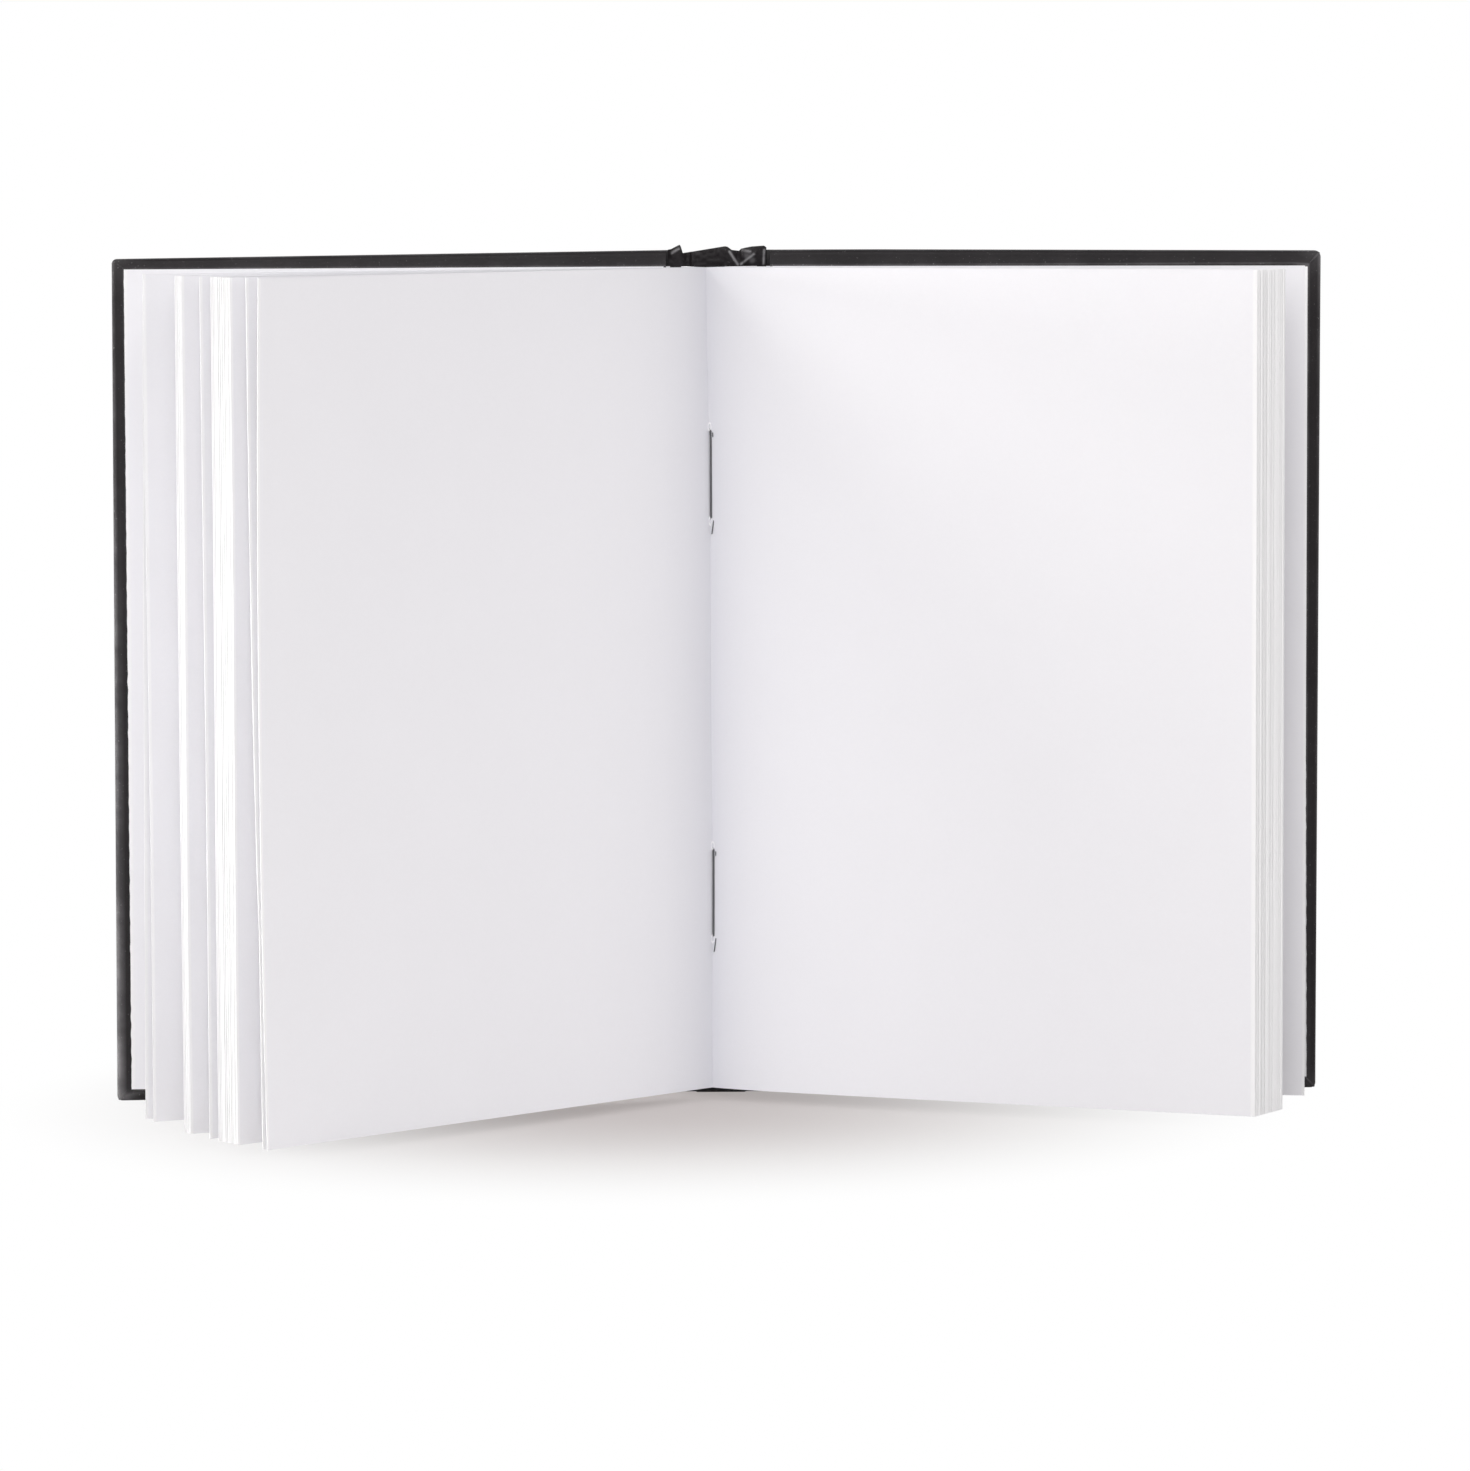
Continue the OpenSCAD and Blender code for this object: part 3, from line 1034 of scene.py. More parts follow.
class SKETCHBOOK_OT_flyleaves(Operator):
    """Hang the loose half of each endpaper"""

    bl_idname = "sketchbook.flyleaves"
    bl_label = "Flyleaves"

    def execute(self, context):
        leaves = context.scene.sketchbook_leaves
        for side, turn in ((LEFT, leaves.left_flyleaf_turn), (RIGHT, leaves.right_flyleaf_turn)):
            name = f"{SIDE_NAMES[side]}_loose_endpaper"
            sheet = flat_sheet(name, 20, 14)
            shape_sheet(sheet, flyleaf_place(side, turn))
            modify(sheet, "SOLIDIFY", thickness=leaves.leaf_thickness, offset=0)
            finish_piece(sheet, "paper", endpaper(), f"{SIDE_NAMES[side]}_flyleaf")
        return {"FINISHED"}


def cover_matrix(side):
    """From a cover drawn flat, hinge at the origin and inside towards the reader, to its place."""
    case = settings().sketchbook_case
    if side == LEFT:
        hinge = Matrix.Translation((-HINGE_X, HINGE_Y, 0))
        return hinge @ Matrix.Scale(-1, 4, (1, 0, 0)) @ Matrix.Rotation(-case.left_swing, 4, "Z")
    return Matrix.Translation((HINGE_X, HINGE_Y, 0)) @ Matrix.Rotation(case.right_lean, 4, "Z")


def inside_level():
    """Level of the cloth on the inside of a cover, in the cover's own flat drawing."""
    return CLOTH / 2 - settings().sketchbook_case.board_thickness - 2 * CLOTH


def pastedown_place(side):
    """Place on a pastedown, from its fold at the sections over the joint to the fore-edge."""
    case = settings().sketchbook_case
    leaves = settings().sketchbook_leaves
    sheet = leaves.leaf_thickness
    matrix = cover_matrix(side)
    flat = inside_level()
    joint_level = CASE_BACK - 2 * CLOTH - sheet * 0.75
    takeoff = SPINE_HALF + (HINGE_X - SPINE_HALF) * (1 / 3 if side == LEFT else 2 / 3)
    edge = case.cover_width - case.bare_border
    board_edge = 0.6 * MM

    def on_cover(x, height):
        z = SQUARE + PAGE_HEIGHT * height
        inner = min(edge - x + case.bare_border, z, COVER_HEIGHT - z) - case.turn_in
        dip = interpolate([(-0.2, 0.0), (0.5, 1.0)], inner / MM) * CLOTH * 0.96
        return matrix @ Vector((x, flat - sheet * 0.55 + dip, 0))

    def place(along, height):
        ragged = noise.noise(Vector((height * 95, side * 3.0, 1.0))) * 0.16 * MM
        ragged += noise.noise(Vector((height * 420, side * 3.0, 7.0))) * 0.08 * MM
        joint = rounded_path([
            fold_root(side) + Vector((side * sheet * 0.6, 0, 0)),
            Vector((side * takeoff, joint_level, 0)),
            Vector((side * (HINGE_X - 0.3 * MM), joint_level, 0)),
            on_cover(board_edge, height),
            on_cover(board_edge + 3 * MM, height),
        ])
        split = 0.3
        if along < split:
            point = along_path(joint, along / split)
        else:
            share = (along - split) / (1 - split)
            stretch = edge - board_edge - 3 * MM + ragged + gain(PASTEDOWN_GAIN[side], height)
            point = on_cover(board_edge + 3 * MM + stretch * share, height)
            if side == RIGHT:
                height *= 1 - 0.5 * MM / PAGE_HEIGHT * share
        return lift(point, height)

    return place


class SKETCHBOOK_OT_pastedowns(Operator):
    """Glue the other half of each endpaper inside its cover"""

    bl_idname = "sketchbook.pastedowns"
    bl_label = "Pastedowns"

    def execute(self, context):
        leaves = context.scene.sketchbook_leaves
        for side in (LEFT, RIGHT):
            name = f"{SIDE_NAMES[side]}_glued_endpaper"
            sheet = flat_sheet(name, 110, 210)
            shape_sheet(sheet, pastedown_place(side))
            modify(sheet, "SOLIDIFY", thickness=leaves.leaf_thickness, offset=0)
            finish_piece(sheet, "paper", endpaper(), f"{SIDE_NAMES[side]}_pastedown", joint=side)
        return {"FINISHED"}


# Case


def side_points(start, end, count):
    return [start.lerp(end, i / count) for i in range(count)]


def arc_points(centre, radius, start, end, count):
    angles = [start + (end - start) * i / count for i in range(count)]
    return [centre + Vector((math.cos(a), math.sin(a))) * radius for a in angles]


def cover_outline(side, inset, hinge_inset):
    """Outline of a cover in its own flat drawing, set in by a distance, as points of x and z."""
    case = settings().sketchbook_case
    head_radius = case.corner_radius if side == RIGHT else case.pressed_radius
    head = max(head_radius - inset, 0.02 * MM)
    tail = max(case.pressed_radius - inset, 0.02 * MM)
    left = 0.4 * MM + hinge_inset
    right = case.cover_width - inset
    low = inset
    high = COVER_HEIGHT - inset
    quarter = math.pi / 2
    points = side_points(Vector((left, low)), Vector((right - tail, low)), 30)
    points += arc_points(Vector((right - tail, low + tail)), tail, -quarter, 0, 7)
    points += side_points(Vector((right, low + tail)), Vector((right, high - head)), 48)
    points += arc_points(Vector((right - head, high - head)), head, 0, quarter, 7)
    points += side_points(Vector((right - head, high)), Vector((left, high)), 30)
    points += side_points(Vector((left, high)), Vector((left, low)), 24)
    return points


def corner_bulk_reach(inset):
    """Share of the corner's extra thickness that is left at a distance from the edge."""
    return max(0, 1 - inset / (2.4 * MM))


def cover_profile():
    """Section of a covered edge: pairs of inset and level from the inside floor to the back."""
    case = settings().sketchbook_case
    flat = inside_level()
    back = CLOTH / 2
    radius = case.wrap_radius
    steps = 5
    front_arc = [
        (radius * (1 - math.sin(a)), flat + radius * (1 - math.cos(a)))
        for a in (math.pi / 2 * i / steps for i in range(steps + 1))
    ]
    back_arc = [
        (radius * (1 - math.cos(a)), back - radius * (1 - math.sin(a)))
        for a in (math.pi / 2 * i / steps for i in range(steps + 1))
    ]
    floor = [(case.turn_in, flat + CLOTH), (case.turn_in - 0.05 * MM, flat)]
    floor += [(inset * MM, flat) for inset in (3.2, 2.8, 2.5)]
    outside = [(inset * MM, back) for inset in (2.5, 4, 7, 11, 16)]
    return floor + front_arc + back_arc + outside


def bulky_corner(x, z, side):
    """Extra thickness of the folded cloth at a cover's outer corners."""
    case = settings().sketchbook_case
    head = Vector((case.cover_width, COVER_HEIGHT)) - Vector((x, z))
    tail = Vector((case.cover_width, 0)) - Vector((x, z))
    head_bulk = (0.4 if side == LEFT else 0.2) * math.exp(-(head.length / (5 * MM)) ** 2)
    tail_bulk = 0.15 * math.exp(-(tail.length / (5 * MM)) ** 2)
    return (head_bulk + tail_bulk) * MM


def cover_shell(side):
    """The cloth round one board, drawn flat."""
    case = settings().sketchbook_case
    rings = []
    back = CLOTH / 2
    flat = inside_level()
    for inset, level in cover_profile():
        ring = []
        hinge_inset = max(0, inset if level > back - 1.2 * MM else 0)
        for point in cover_outline(side, inset, min(hinge_inset, 1.0 * MM)):
            x, z = point
            wave = noise.noise(Vector((x * 70, z * 70, side * 5.0))) * 0.05 * MM
            tight = 1 if inset < 2 * MM else 0
            y = level + wave * tight
            if level < (flat + back) / 2:
                y -= bulky_corner(x, z, side) * corner_bulk_reach(inset)
            if x < 1 * MM and level < flat + CLOTH and 14.5 * MM < z < COVER_HEIGHT - 14.5 * MM:
                y = flat + CLOTH
            x += gain(COVER_GAIN[side], z / COVER_HEIGHT) * max(0, x / case.cover_width) ** 2
            ring.append(Vector((x, y, z)))
        rings.append(ring)
    return skin(f"{SIDE_NAMES[side]}_leather_cover", rings)


def mitre_ridge(side, head):
    """Narrow fold of cloth along the mitre of a turned-in corner."""
    case = settings().sketchbook_case
    length = 3.4 * MM
    radius = case.corner_radius if side == RIGHT and head else case.pressed_radius
    middle = radius * 0.3 + length * 0.35
    deselect_all()
    bpy.ops.mesh.primitive_cube_add(size=1, scale=(length, 0.3 * MM, 0.5 * MM))
    ridge = bpy.context.object
    modify(ridge, "BEVEL", width=0.12 * MM, segments=2)
    place_in_mesh(ridge)
    slope = -1 if head else 1
    z = COVER_HEIGHT - middle if head else middle
    outer = case.cover_width + gain(COVER_GAIN[side], 1 if head else 0)
    place = Vector((outer - middle, inside_level() - 0.02 * MM, z))
    turn = Matrix.Rotation(math.radians(45) * slope, 4, "Y")
    ridge.data.transform(Matrix.Translation(place) @ turn)
    return ridge


def cover_wear(point):
    """Wear in a cover's flat drawing: along the outer edges and most at the corners."""
    case = settings().sketchbook_case
    edge = min(case.cover_width - point.x, point.z, COVER_HEIGHT - point.z)
    corner = Vector((case.cover_width - point.x, min(point.z, COVER_HEIGHT - point.z))).length
    rim = max(0, 1 - edge / (0.5 * MM)) * 0.16
    border = 0.22 * math.exp(-((edge - 2.9 * MM) / (0.3 * MM)) ** 2)
    return rim + border + 0.07 * math.exp(-(corner / (4 * MM)) ** 2)


class SKETCHBOOK_OT_covers(Operator):
    """Wrap the cloth round both boards"""

    bl_idname = "sketchbook.covers"
    bl_label = "Covers"

    def execute(self, context):
        for side in (LEFT, RIGHT):
            shell = cover_shell(side)
            cover = join([shell, mitre_ridge(side, True), mitre_ridge(side, False)],
                         f"{SIDE_NAMES[side]}_leather_cover")
            mark(cover, "wear_and_sheen", cover_wear)
            cover.data.transform(cover_matrix(side))
            raise_head(cover)
            finish_piece(
                cover, "cover_cloth", cover_cloth(), f"{SIDE_NAMES[side]}_cover_cloth",
                body=f"{SIDE_NAMES[side]}_cover", crease=50,
            )
        return {"FINISHED"}


def turned_in(z):
    case = settings().sketchbook_case
    return z < case.turn_in or z > COVER_HEIGHT - case.turn_in


def end_levels():
    """Heights of the rings of a standing cloth, close together at its ends and turn-ins."""
    case = settings().sketchbook_case
    ends = [0.0, 0.08, 0.25, 0.5, 2.0, 6.0, 10.0]
    step = [case.turn_in - 0.02 * MM, case.turn_in + 0.02 * MM]
    low = [level * MM for level in ends] + step
    middle = [case.turn_in + (COVER_HEIGHT - 2 * case.turn_in) * i / 20 for i in range(1, 20)]
    return low + middle + [COVER_HEIGHT - level for level in reversed(low)]


def end_rounding(z, radius):
    """How far a standing cloth is thinned at a height close to its ends."""
    depth = max(0, min(z, COVER_HEIGHT - z))
    if depth >= radius:
        return 0
    return radius - math.sqrt(max(0, depth * (2 * radius - depth)))


def end_wear(amount, reach):
    """Wear of a standing cloth, close to its head and tail only."""
    return lambda point: amount if min(point.z, COVER_HEIGHT - point.z) < reach else 0


class SKETCHBOOK_OT_joint_cloths(Operator):
    """Lay the cloth over the two joints, with a groove along each"""

    bl_idname = "sketchbook.joint_cloths"
    bl_label = "Joint Cloths"

    def execute(self, context):
        case = context.scene.sketchbook_case
        inner_end = SPINE_HALF - 0.5 * MM
        outer_end = HINGE_X + 1.3 * MM
        stations = 16
        for side in (LEFT, RIGHT):
            rings = []
            for z in end_levels():
                thin = end_rounding(z, 0.24 * MM)
                thickness = CLOTH * (2 if turned_in(z) else 1)
                back_line = []
                front_line = []
                for i in range(stations + 1):
                    share = i / stations
                    x = inner_end + (outer_end - inner_end) * share
                    dip = case.groove_depth * math.sin(math.pi * share) ** 0.6
                    pucker = noise.noise(Vector((x * 260, z * 55, side * 2.0))) * 0.05 * MM
                    y = CASE_BACK - dip - 0.04 * MM + pucker
                    back_line.append(Vector((side * x, y - thin, z)))
                    front_line.append(Vector((side * x, CASE_BACK - thickness + thin, z)))
                rings.append(back_line + list(reversed(front_line)))
            name = f"{SIDE_NAMES[side]}_joint_cloth"
            cloth = skin(name, rings)
            raise_head(cloth)
            mark(cloth, "wear_and_sheen", end_wear(0.1, 0.6 * MM))
            finish_piece(
                cloth, "cover_cloth", cover_cloth(), "spine_cloth", joint=side, crease=50
            )
        return {"FINISHED"}


def spine_outline(z):
    """Plan outline of the spine's cloth at a height: hollow between the turn-ins."""
    thin = end_rounding(z, 0.5 * MM)
    half = SPINE_HALF - thin
    back = CASE_BACK - thin
    front = (CASE_FRONT if turned_in(z) else CASE_BACK - CLOTH) + thin
    radius = 0.7 * MM
    steps = 5
    crown = 0.25 * MM
    points = []
    for i in range(steps + 1):
        a = math.pi / 2 * i / steps
        points.append(Vector((half - radius + radius * math.cos(a),
                              back - radius + radius * math.sin(a), z)))
    for i in range(1, 12):
        share = i / 12
        x = (half - radius) * (1 - 2 * share)
        points.append(Vector((x, back + crown * 4 * share * (1 - share), z)))
    for i in range(steps + 1):
        a = math.pi / 2 * (1 + i / steps)
        points.append(Vector((-half + radius + radius * math.cos(a),
                              back - radius + radius * math.sin(a), z)))
    low = min(front, back - radius - 0.02 * MM)
    points += [Vector((-half, low, z)), Vector((half, low, z))]
    return points


class SKETCHBOOK_OT_spine_cloth(Operator):
    """Wrap the cloth round the spine strip"""

    bl_idname = "sketchbook.spine_cloth"
    bl_label = "Spine Cloth"

    def execute(self, context):
        spine = skin("leather_spine", [spine_outline(z) for z in end_levels()])
        mark(spine, "wear_and_sheen", end_wear(0.14, 0.7 * MM))
        finish_piece(spine, "cover_cloth", cover_cloth(), "spine_cloth", crease=50)
        return {"FINISHED"}


# Rumpled head of the spine, as places across the spine in millimetres with the height of the fold
# above the covers and how far it stands towards the reader
RUMPLE_TOPS = [
    (-12.6, 1.1), (-11.8, 1.25), (-9.6, 2.4), (-9.0, 0.25), (-8.6, 0.25), (1.9, 1.95), (2.5, 1.85),
    (3.6, 1.0), (5.6, 0.75), (6.1, 1.3), (7.0, 1.5), (8.8, 1.85), (11.9, 2.05), (12.4, 1.6),
]
RUMPLE_FRONTS = [
    (-12.6, 0.1), (-11.4, 0.6), (-9.5, 1.7), (-8.7, 0.9), (-8.0, 0.3), (2.2, 1.2), (3.8, 0.7),
    (5.2, -0.2), (6.1, 0.1), (6.5, 1.0), (8.9, 1.3), (11.6, 1.2), (12.4, 0.2),
]
# Worn creases there, each from one place and height to another, in millimetres
WORN_CREASES = [
    ((3.1, 0.7), (5.2, -2.6)), ((6.0, -2.5), (9.3, 0.0)), ((12.0, 1.1), (11.8, -2.4)),
    ((-11.6, 0.4), (-9.8, 1.5)), ((6.3, 1.1), (8.4, 0.6)),
]
# Painted highlights there on facets that face the lamps, each a place and height with a size, in
# millimetres
SHEEN_FACETS = [((7.5, 0.2), 1.2), ((8.9, -1.5), 0.8)]


def distance_to_crease(x, z, crease):
    start, end = Vector(crease[0]), Vector(crease[1])
    point = Vector((x, z))
    share = max(0, min(1, (point - start).dot(end - start) / (end - start).length_squared))
    return (point - start.lerp(end, share)).length


class SKETCHBOOK_OT_rumpled_head(Operator):
    """Rumple the cloth that is turned in at the head of the spine"""

    bl_idname = "sketchbook.rumpled_head"
    bl_label = "Rumpled Head"

    def execute(self, context):
        first = RUMPLE_TOPS[0][0]
        last = RUMPLE_TOPS[-1][0]
        foot = -7.0
        rest = 0.25

        def place(along, up):
            x = first + (last - first) * along
            top = interpolate(RUMPLE_TOPS, x, smooth=False)
            front = interpolate(RUMPLE_FRONTS, x, smooth=False)
            web_front = CASE_FRONT if abs(x) * MM < SPINE_HALF else CASE_BACK - 2 * CLOTH
            blend = 0.5 + 0.5 * math.tanh((abs(x) - SPINE_HALF / MM) * 2.5)
            base = CASE_FRONT * (1 - blend) + (CASE_BACK - 2 * CLOTH) * blend
            base = min(base, web_front) - rest * MM
            fold_share = 0.72
            if up < fold_share:
                share = up / fold_share
                z = foot + (top - foot) * share
                lean = front * math.sin(math.pi * min(1, share * 0.62)) * share
                ridge = sum(
                    0.35 * math.exp(-(distance_to_crease(x, z, crease) / 0.35) ** 2)
                    for crease in WORN_CREASES
                )
                crumple = noise.noise(Vector((x * 0.9, z * 0.8, 3.0))) * 0.28 * share
                y = base - (lean + ridge + crumple) * MM
            else:
                share = (up - fold_share) / (1 - fold_share)
                z = top - 5.0 * share * share
                reach = math.sin(math.pi / 2 * min(1, share * 1.6))
                y = (base - front * MM * 0.9) * (1 - reach) + (CASE_BACK + 0.12 * MM) * reach
            return Vector((x * MM, y, COVER_HEIGHT + z * MM))

        sheet = flat_sheet("rumpled_head", 120, 46)
        shape_sheet(sheet, place)
        modify(sheet, "SOLIDIFY", thickness=CLOTH * 0.7, offset=0)

        # Wear of the creases, with a painted highlight on the facets that face the lamps
        def wear_and_sheen(point):
            x = point.x / MM
            z = (point.z - COVER_HEIGHT) / MM
            if point.y > 0:
                return 0.05
            crease = max(
                math.exp(-(distance_to_crease(x, z, line) / 0.28) ** 2) for line in WORN_CREASES
            )
            # Painted highlight on the facets
            painted_sheen = max(
                math.exp(-((Vector((x, z)) - Vector(middle)).length / size) ** 4) * 0.3
                for middle, size in SHEEN_FACETS
            )
            return min(1, crease * 0.95 + painted_sheen)

        mark(sheet, "wear_and_sheen", wear_and_sheen)
        finish_piece(sheet, "cover_cloth", cover_cloth(), "spine_cloth", crease=28)
        return {"FINISHED"}


# Sewing


def stitch(name, low, high, radius=0.26 * MM, across=0.2 * MM, slant=0.0):
    """One long stitch: a twisted thread that turns into the fold at both ends."""
    leaves = settings().sketchbook_leaves
    strands = 3
    turns = (high - low) / (1.6 * MM)
    sides = 8
    steps = 90
    dive = 1.2 * MM
    parts = []
    for strand in range(strands):
        rings = []
        for i in range(steps + 1):
            share = i / steps
            z = low + (high - low) * share
            height = (z - SQUARE) / PAGE_HEIGHT
            twist = 2 * math.pi * (turns * share + strand / strands)
            ends = max(0, 1 - min(share, 1 - share) / 0.05)
            centre = Vector((
                leaves.gutter_x + drift(height) + across + slant * (0.5 - share)
                + math.cos(twist) * radius * 0.55,
                leaves.gutter_y - radius * 1.4 - (across - 0.2 * MM) * 1.1
                + math.sin(twist) * radius * 0.55 + dive * ends ** 2,
                z,
            ))
            rings.append([
                centre + Vector((math.cos(a), math.sin(a), 0)) * radius * 0.62
                for a in (2 * math.pi * k / sides for k in range(sides))
            ])
        parts.append(skin(name, rings))
    return join(parts, name)


def sewing_hole(z):
    """Small torn rim of paper round a hole in the fold."""
    leaves = settings().sketchbook_leaves
    height = (z - SQUARE) / PAGE_HEIGHT
    deselect_all()
    bpy.ops.mesh.primitive_torus_add(
        major_segments=20, minor_segments=8, major_radius=0.55 * MM, minor_radius=0.16 * MM,
        location=(leaves.gutter_x + drift(height), leaves.gutter_y - 0.25 * MM, z),
        rotation=(math.radians(90), 0, 0),
    )
    rim = bpy.context.object
    rim.scale = (0.8, 1.7, 1)
    place_in_mesh(rim)
    return rim


class SKETCHBOOK_OT_stitches(Operator):
    """Sew the two long stitches into the open fold"""

    bl_idname = "sketchbook.stitches"
    bl_label = "Stitches"

    def execute(self, context):
        length = 24 * MM
        threads = []
        rims = []
        for share in (0.24, 0.75):
            middle = SQUARE + PAGE_HEIGHT * share
            low = middle - length / 2
            high = middle + length / 2
            threads.append(stitch("stitch", low, high))
            foot = (low - 3.4 * MM, low + 0.3 * MM, 0.14 * MM, 0.6 * MM, -0.5 * MM)
            head = (high - 2.6 * MM, high - 1.4 * MM, 0.12 * MM, 0.75 * MM)
            threads.append(stitch("stitch_foot", *foot))
            threads.append(stitch("stitch_head", *head))
            rims += [sewing_hole(low), sewing_hole(high)]
        thread = join(threads, "long_stitches")
        finish_piece(thread, "thread", twisted_thread(), "sewing_thread", crease=60)
        rim = join(rims, "sewing_hole_rims")
        finish_piece(rim, "paper", drawing_paper(), crease=60)
        return {"FINISHED"}


class SKETCHBOOK_OT_hidden_parts(Operator):
    """Finish the boards, the strip and the lining inside the case"""

    bl_idname = "sketchbook.hidden_parts"
    bl_label = "Hidden Parts"

    def execute(self, context):
        for node in ("left_board", "right_board", "spine_strip"):
            dress(frame["nodes"][node], grey_board())
        dress(frame["nodes"]["spine_lining"], lining_cloth())
        return {"FINISHED"}


# Stage


def mix_shaders(tree, share, first, second):
    node = tree.nodes.new("ShaderNodeMixShader")
    for socket, value in zip(node.inputs, (share, first.outputs[0], second.outputs[0])):
        feed(tree, socket, value)
    return node


def floor_material(inner, outer, shadow_light):
    """Floor that shows the object's shadow close by and is plain white from a distance."""
    material = bpy.data.materials.new("studio floor")
    material.use_nodes = True
    tree = material.node_tree
    tree.nodes.remove(tree.nodes["Principled BSDF"])
    place = tree.nodes.new("ShaderNodeTexCoord").outputs["Object"]
    centred = tree.nodes.new("ShaderNodeMapping")
    centred.vector_type = "TEXTURE"
    centred.inputs["Location"].default_value = (-0.02, -0.02, 0)
    centred.inputs["Scale"].default_value = outer
    tree.links.new(place, centred.inputs["Vector"])
    reach = add_node(tree, "ShaderNodeVectorMath", operation="LENGTH")
    tree.links.new(centred.outputs[0], reach.inputs[0])
    inputs = {"Value": reach.outputs["Value"], "From Min": inner, "From Max": 1.0}
    away = add_node(tree, "ShaderNodeMapRange", inputs, interpolation_type="SMOOTHSTEP")
    path = tree.nodes.new("ShaderNodeLightPath")
    plain = add_node(tree, "ShaderNodeBsdfDiffuse", Color=(0.86, 0.84, 0.825, 1))
    warm = add_node(tree, "ShaderNodeBsdfDiffuse", Color=(0.44, 0.42, 0.41, 1))
    glow = add_node(tree, "ShaderNodeEmission", Color=(0.84, 0.775, 0.765, 1), Strength=1.0)
    white = add_node(tree, "ShaderNodeEmission", Color=(1, 1, 1, 1), Strength=1.0)
    shaded = mix_shaders(tree, shadow_light, warm, glow)
    seen = mix_shaders(tree, away.outputs["Result"], shaded, white)
    mixed = mix_shaders(tree, path.outputs["Is Camera Ray"], plain, seen)
    tree.links.new(mixed.outputs[0], tree.nodes["Material Output"].inputs["Surface"])
    return material


def studio_world(strength):
    """White behind the object for the camera, soft light from all round for the rest."""
    world = bpy.data.worlds.new("studio")
    world.use_nodes = True
    tree = world.node_tree
    background = tree.nodes["Background"]
    path = tree.nodes.new("ShaderNodeLightPath")
    rays = [path.outputs[f"Is {kind} Ray"] for kind in ("Camera", "Transmission")]
    seen = maths(tree, "MAXIMUM", *rays)
    tree.links.new(mix_colours(tree, seen, (0.985, 0.98, 1, 1), (1, 1, 1, 1)),
                   background.inputs["Color"])
    tree.links.new(maths(tree, "ADD", maths(tree, "MULTIPLY", seen, 1 - strength), strength),
                   background.inputs["Strength"])
    bpy.context.scene.world = world


NARROW_BEAM = math.radians(25)


def soft_lamp(name, place, target, size, power, colour):
    """A round lamp at a place that shines at a target."""
    deselect_all()
    bpy.ops.object.light_add(type="AREA", location=place)
    lamp = bpy.context.object
    lamp.name = name
    lamp.rotation_euler = (Vector(target) - Vector(place)).to_track_quat("-Z", "Y").to_euler()
    lamp.data.shape = "DISK"
    lamp.data.size = size
    lamp.data.energy = power
    lamp.data.color = colour
    return lamp


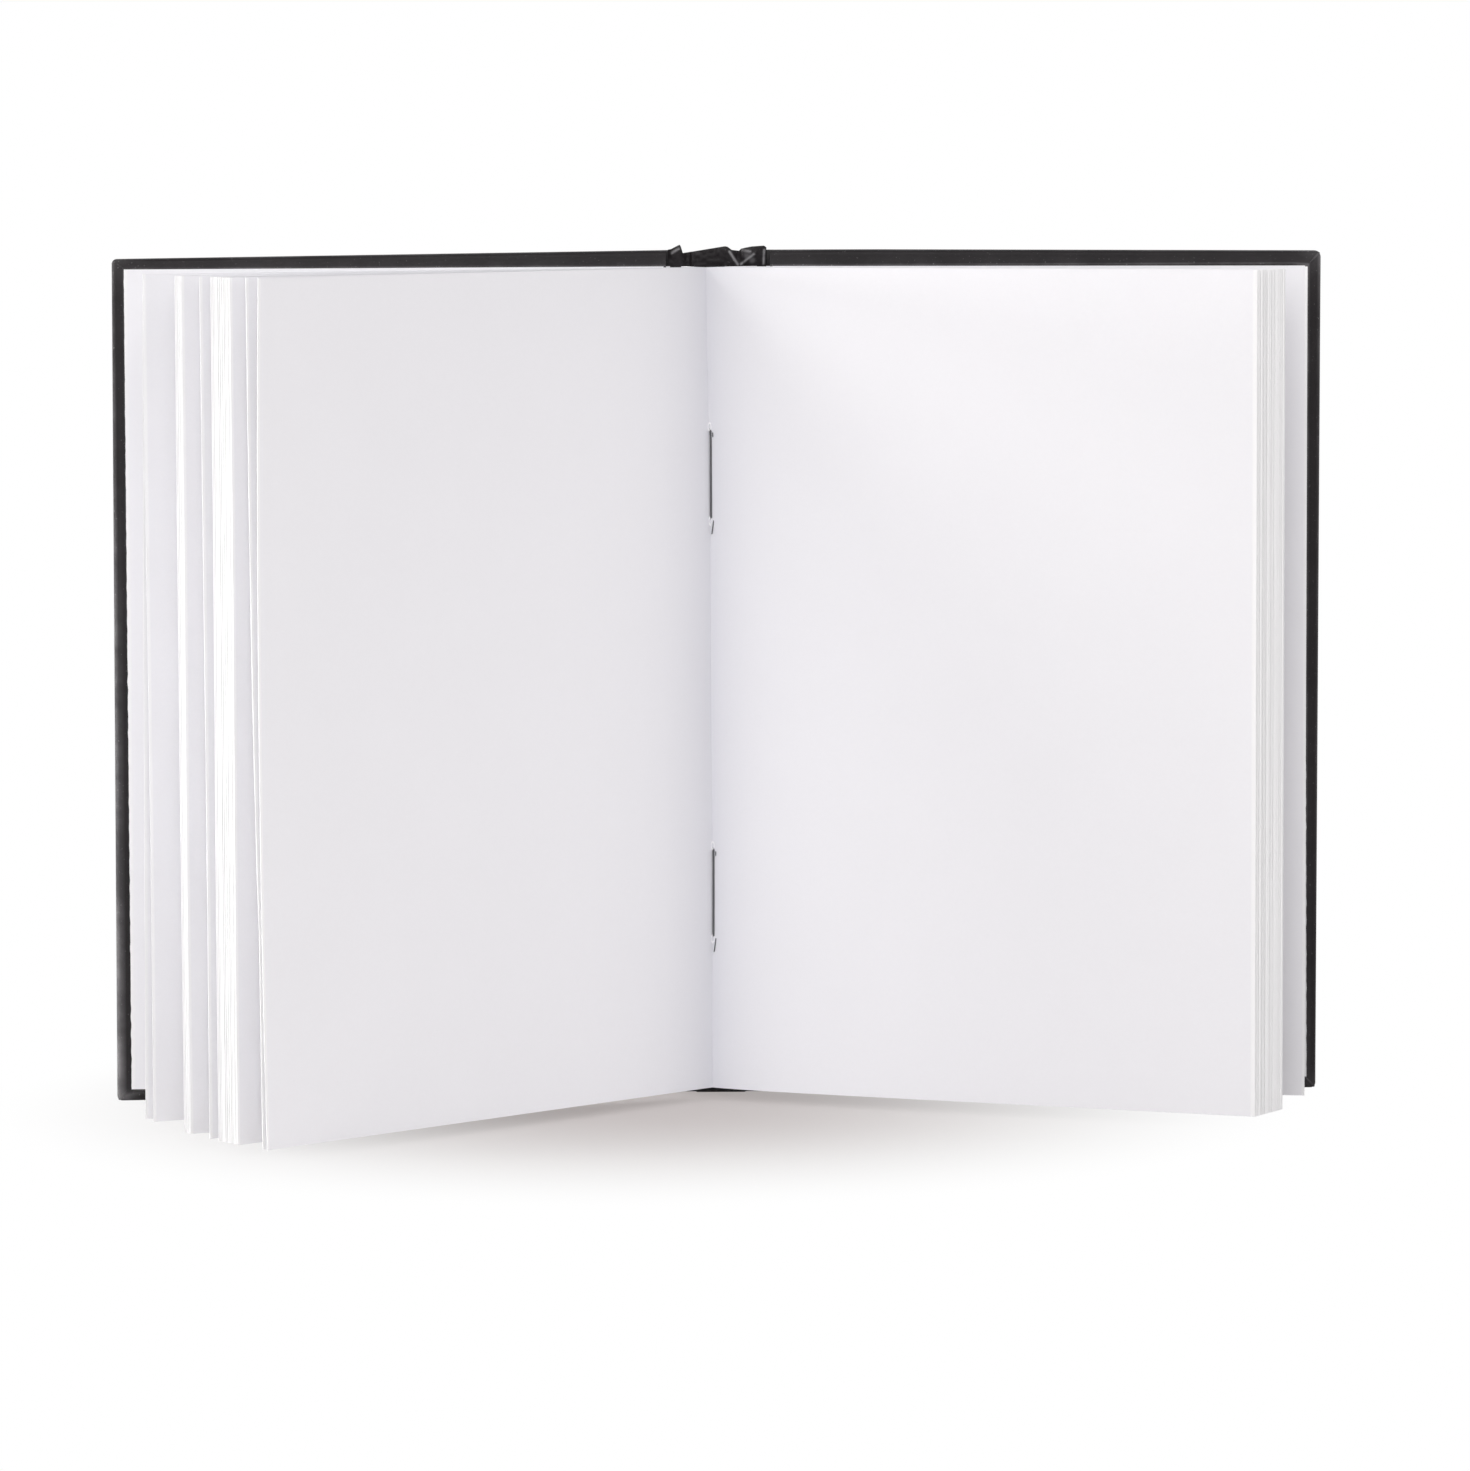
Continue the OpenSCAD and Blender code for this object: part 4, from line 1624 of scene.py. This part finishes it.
class SKETCHBOOK_OT_stage(Operator):
    """Set the camera, the lamps and the floor"""

    bl_idname = "sketchbook.stage"
    bl_label = "Stage"

    def execute(self, context):
        stage = context.scene.sketchbook_stage
        deselect_all()
        bpy.ops.mesh.primitive_plane_add(size=40, location=(0, 0, -0.02 * MM))
        floor = bpy.context.object
        floor.name = "floor"
        place_in_mesh(floor)
        dress(floor, floor_material(stage.shadow_core, stage.shadow_reach, stage.shadow_light))
        studio_world(stage.sky_strength)
        aim = (0.02, -0.03, 0.1)
        neutral = (1, 0.99, 0.985)
        soft_lamp("high lamp", (-2.1, -0.35, 1.3), aim, 1.0, stage.key_power, (1, 0.985, 0.96))
        soft_lamp("front lamp", (-0.2, -2.0, 0.9), aim, 1.2, stage.front_power, neutral)
        soft_lamp("side lamp", (1.3, -1.5, 0.8), aim, 1.2, stage.side_power, neutral)
        fan = soft_lamp(
            "fan lamp", (-0.5, -0.65, 0.3), (-0.105, -0.06, 0.1), 0.2, stage.fan_power,
            (0.94, 0.955, 1),
        )
        edges = soft_lamp(
            "edge lamp", (-1.0, -0.17, 0.22), (-0.12, -0.06, 0.1), 0.25, stage.edge_power,
            (1, 1, 1),
        )
        for narrow in (fan, edges):
            narrow.data.spread = NARROW_BEAM
            narrow.visible_glossy = False
        bpy.ops.object.camera_add(location=stage.camera_place)
        camera = bpy.context.object
        upright = math.radians(90) - stage.camera_pitch
        turn = Matrix.Rotation(upright, 4, "X") @ Matrix.Rotation(stage.camera_roll, 4, "Z")
        camera.rotation_euler = turn.to_euler()
        camera.data.lens = stage.camera_lens
        camera.data.sensor_width = 36
        camera.data.clip_start = 0.05
        context.scene.camera = camera
        context.scene.view_settings.view_transform = "Standard"
        return {"FINISHED"}


OPERATORS = (
    SKETCHBOOK_OT_fanned_leaves,
    SKETCHBOOK_OT_leaf_stack,
    SKETCHBOOK_OT_section_folds,
    SKETCHBOOK_OT_flyleaves,
    SKETCHBOOK_OT_pastedowns,
    SKETCHBOOK_OT_covers,
    SKETCHBOOK_OT_joint_cloths,
    SKETCHBOOK_OT_spine_cloth,
    SKETCHBOOK_OT_rumpled_head,
    SKETCHBOOK_OT_stitches,
    SKETCHBOOK_OT_hidden_parts,
    SKETCHBOOK_OT_stage,
)


class SKETCHBOOK_PT_panel(Panel):
    """Lists the steps that build the sketchbook"""

    bl_label = "Opened Sketchbook"
    bl_idname = "SKETCHBOOK_PT_panel"
    bl_space_type = "VIEW_3D"
    bl_region_type = "UI"
    bl_category = "Sketchbook"

    def draw(self, context):
        for operator in OPERATORS:
            self.layout.operator(operator.bl_idname)
        for group in ("leaves", "case", "finish", "stage"):
            values = getattr(context.scene, f"sketchbook_{group}")
            column = self.layout.column()
            for name in values.__annotations__:
                column.prop(values, name)


GROUPS = {
    "sketchbook_leaves": SketchbookLeaves,
    "sketchbook_case": SketchbookCase,
    "sketchbook_finish": SketchbookFinish,
    "sketchbook_stage": SketchbookStage,
}


def register():
    for name, group in GROUPS.items():
        bpy.utils.register_class(group)
        setattr(bpy.types.Scene, name, PointerProperty(type=group))
    for operator in OPERATORS:
        bpy.utils.register_class(operator)
    bpy.utils.register_class(SKETCHBOOK_PT_panel)


def unregister():
    bpy.utils.unregister_class(SKETCHBOOK_PT_panel)
    for operator in reversed(OPERATORS):
        bpy.utils.unregister_class(operator)
    for name, group in GROUPS.items():
        delattr(bpy.types.Scene, name)
        bpy.utils.unregister_class(group)


def main():
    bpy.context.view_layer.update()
    register()
    for operator in OPERATORS:
        group, name = operator.bl_idname.split(".")
        getattr(getattr(bpy.ops, group), name)()


if __name__ == "__main__":
    main()
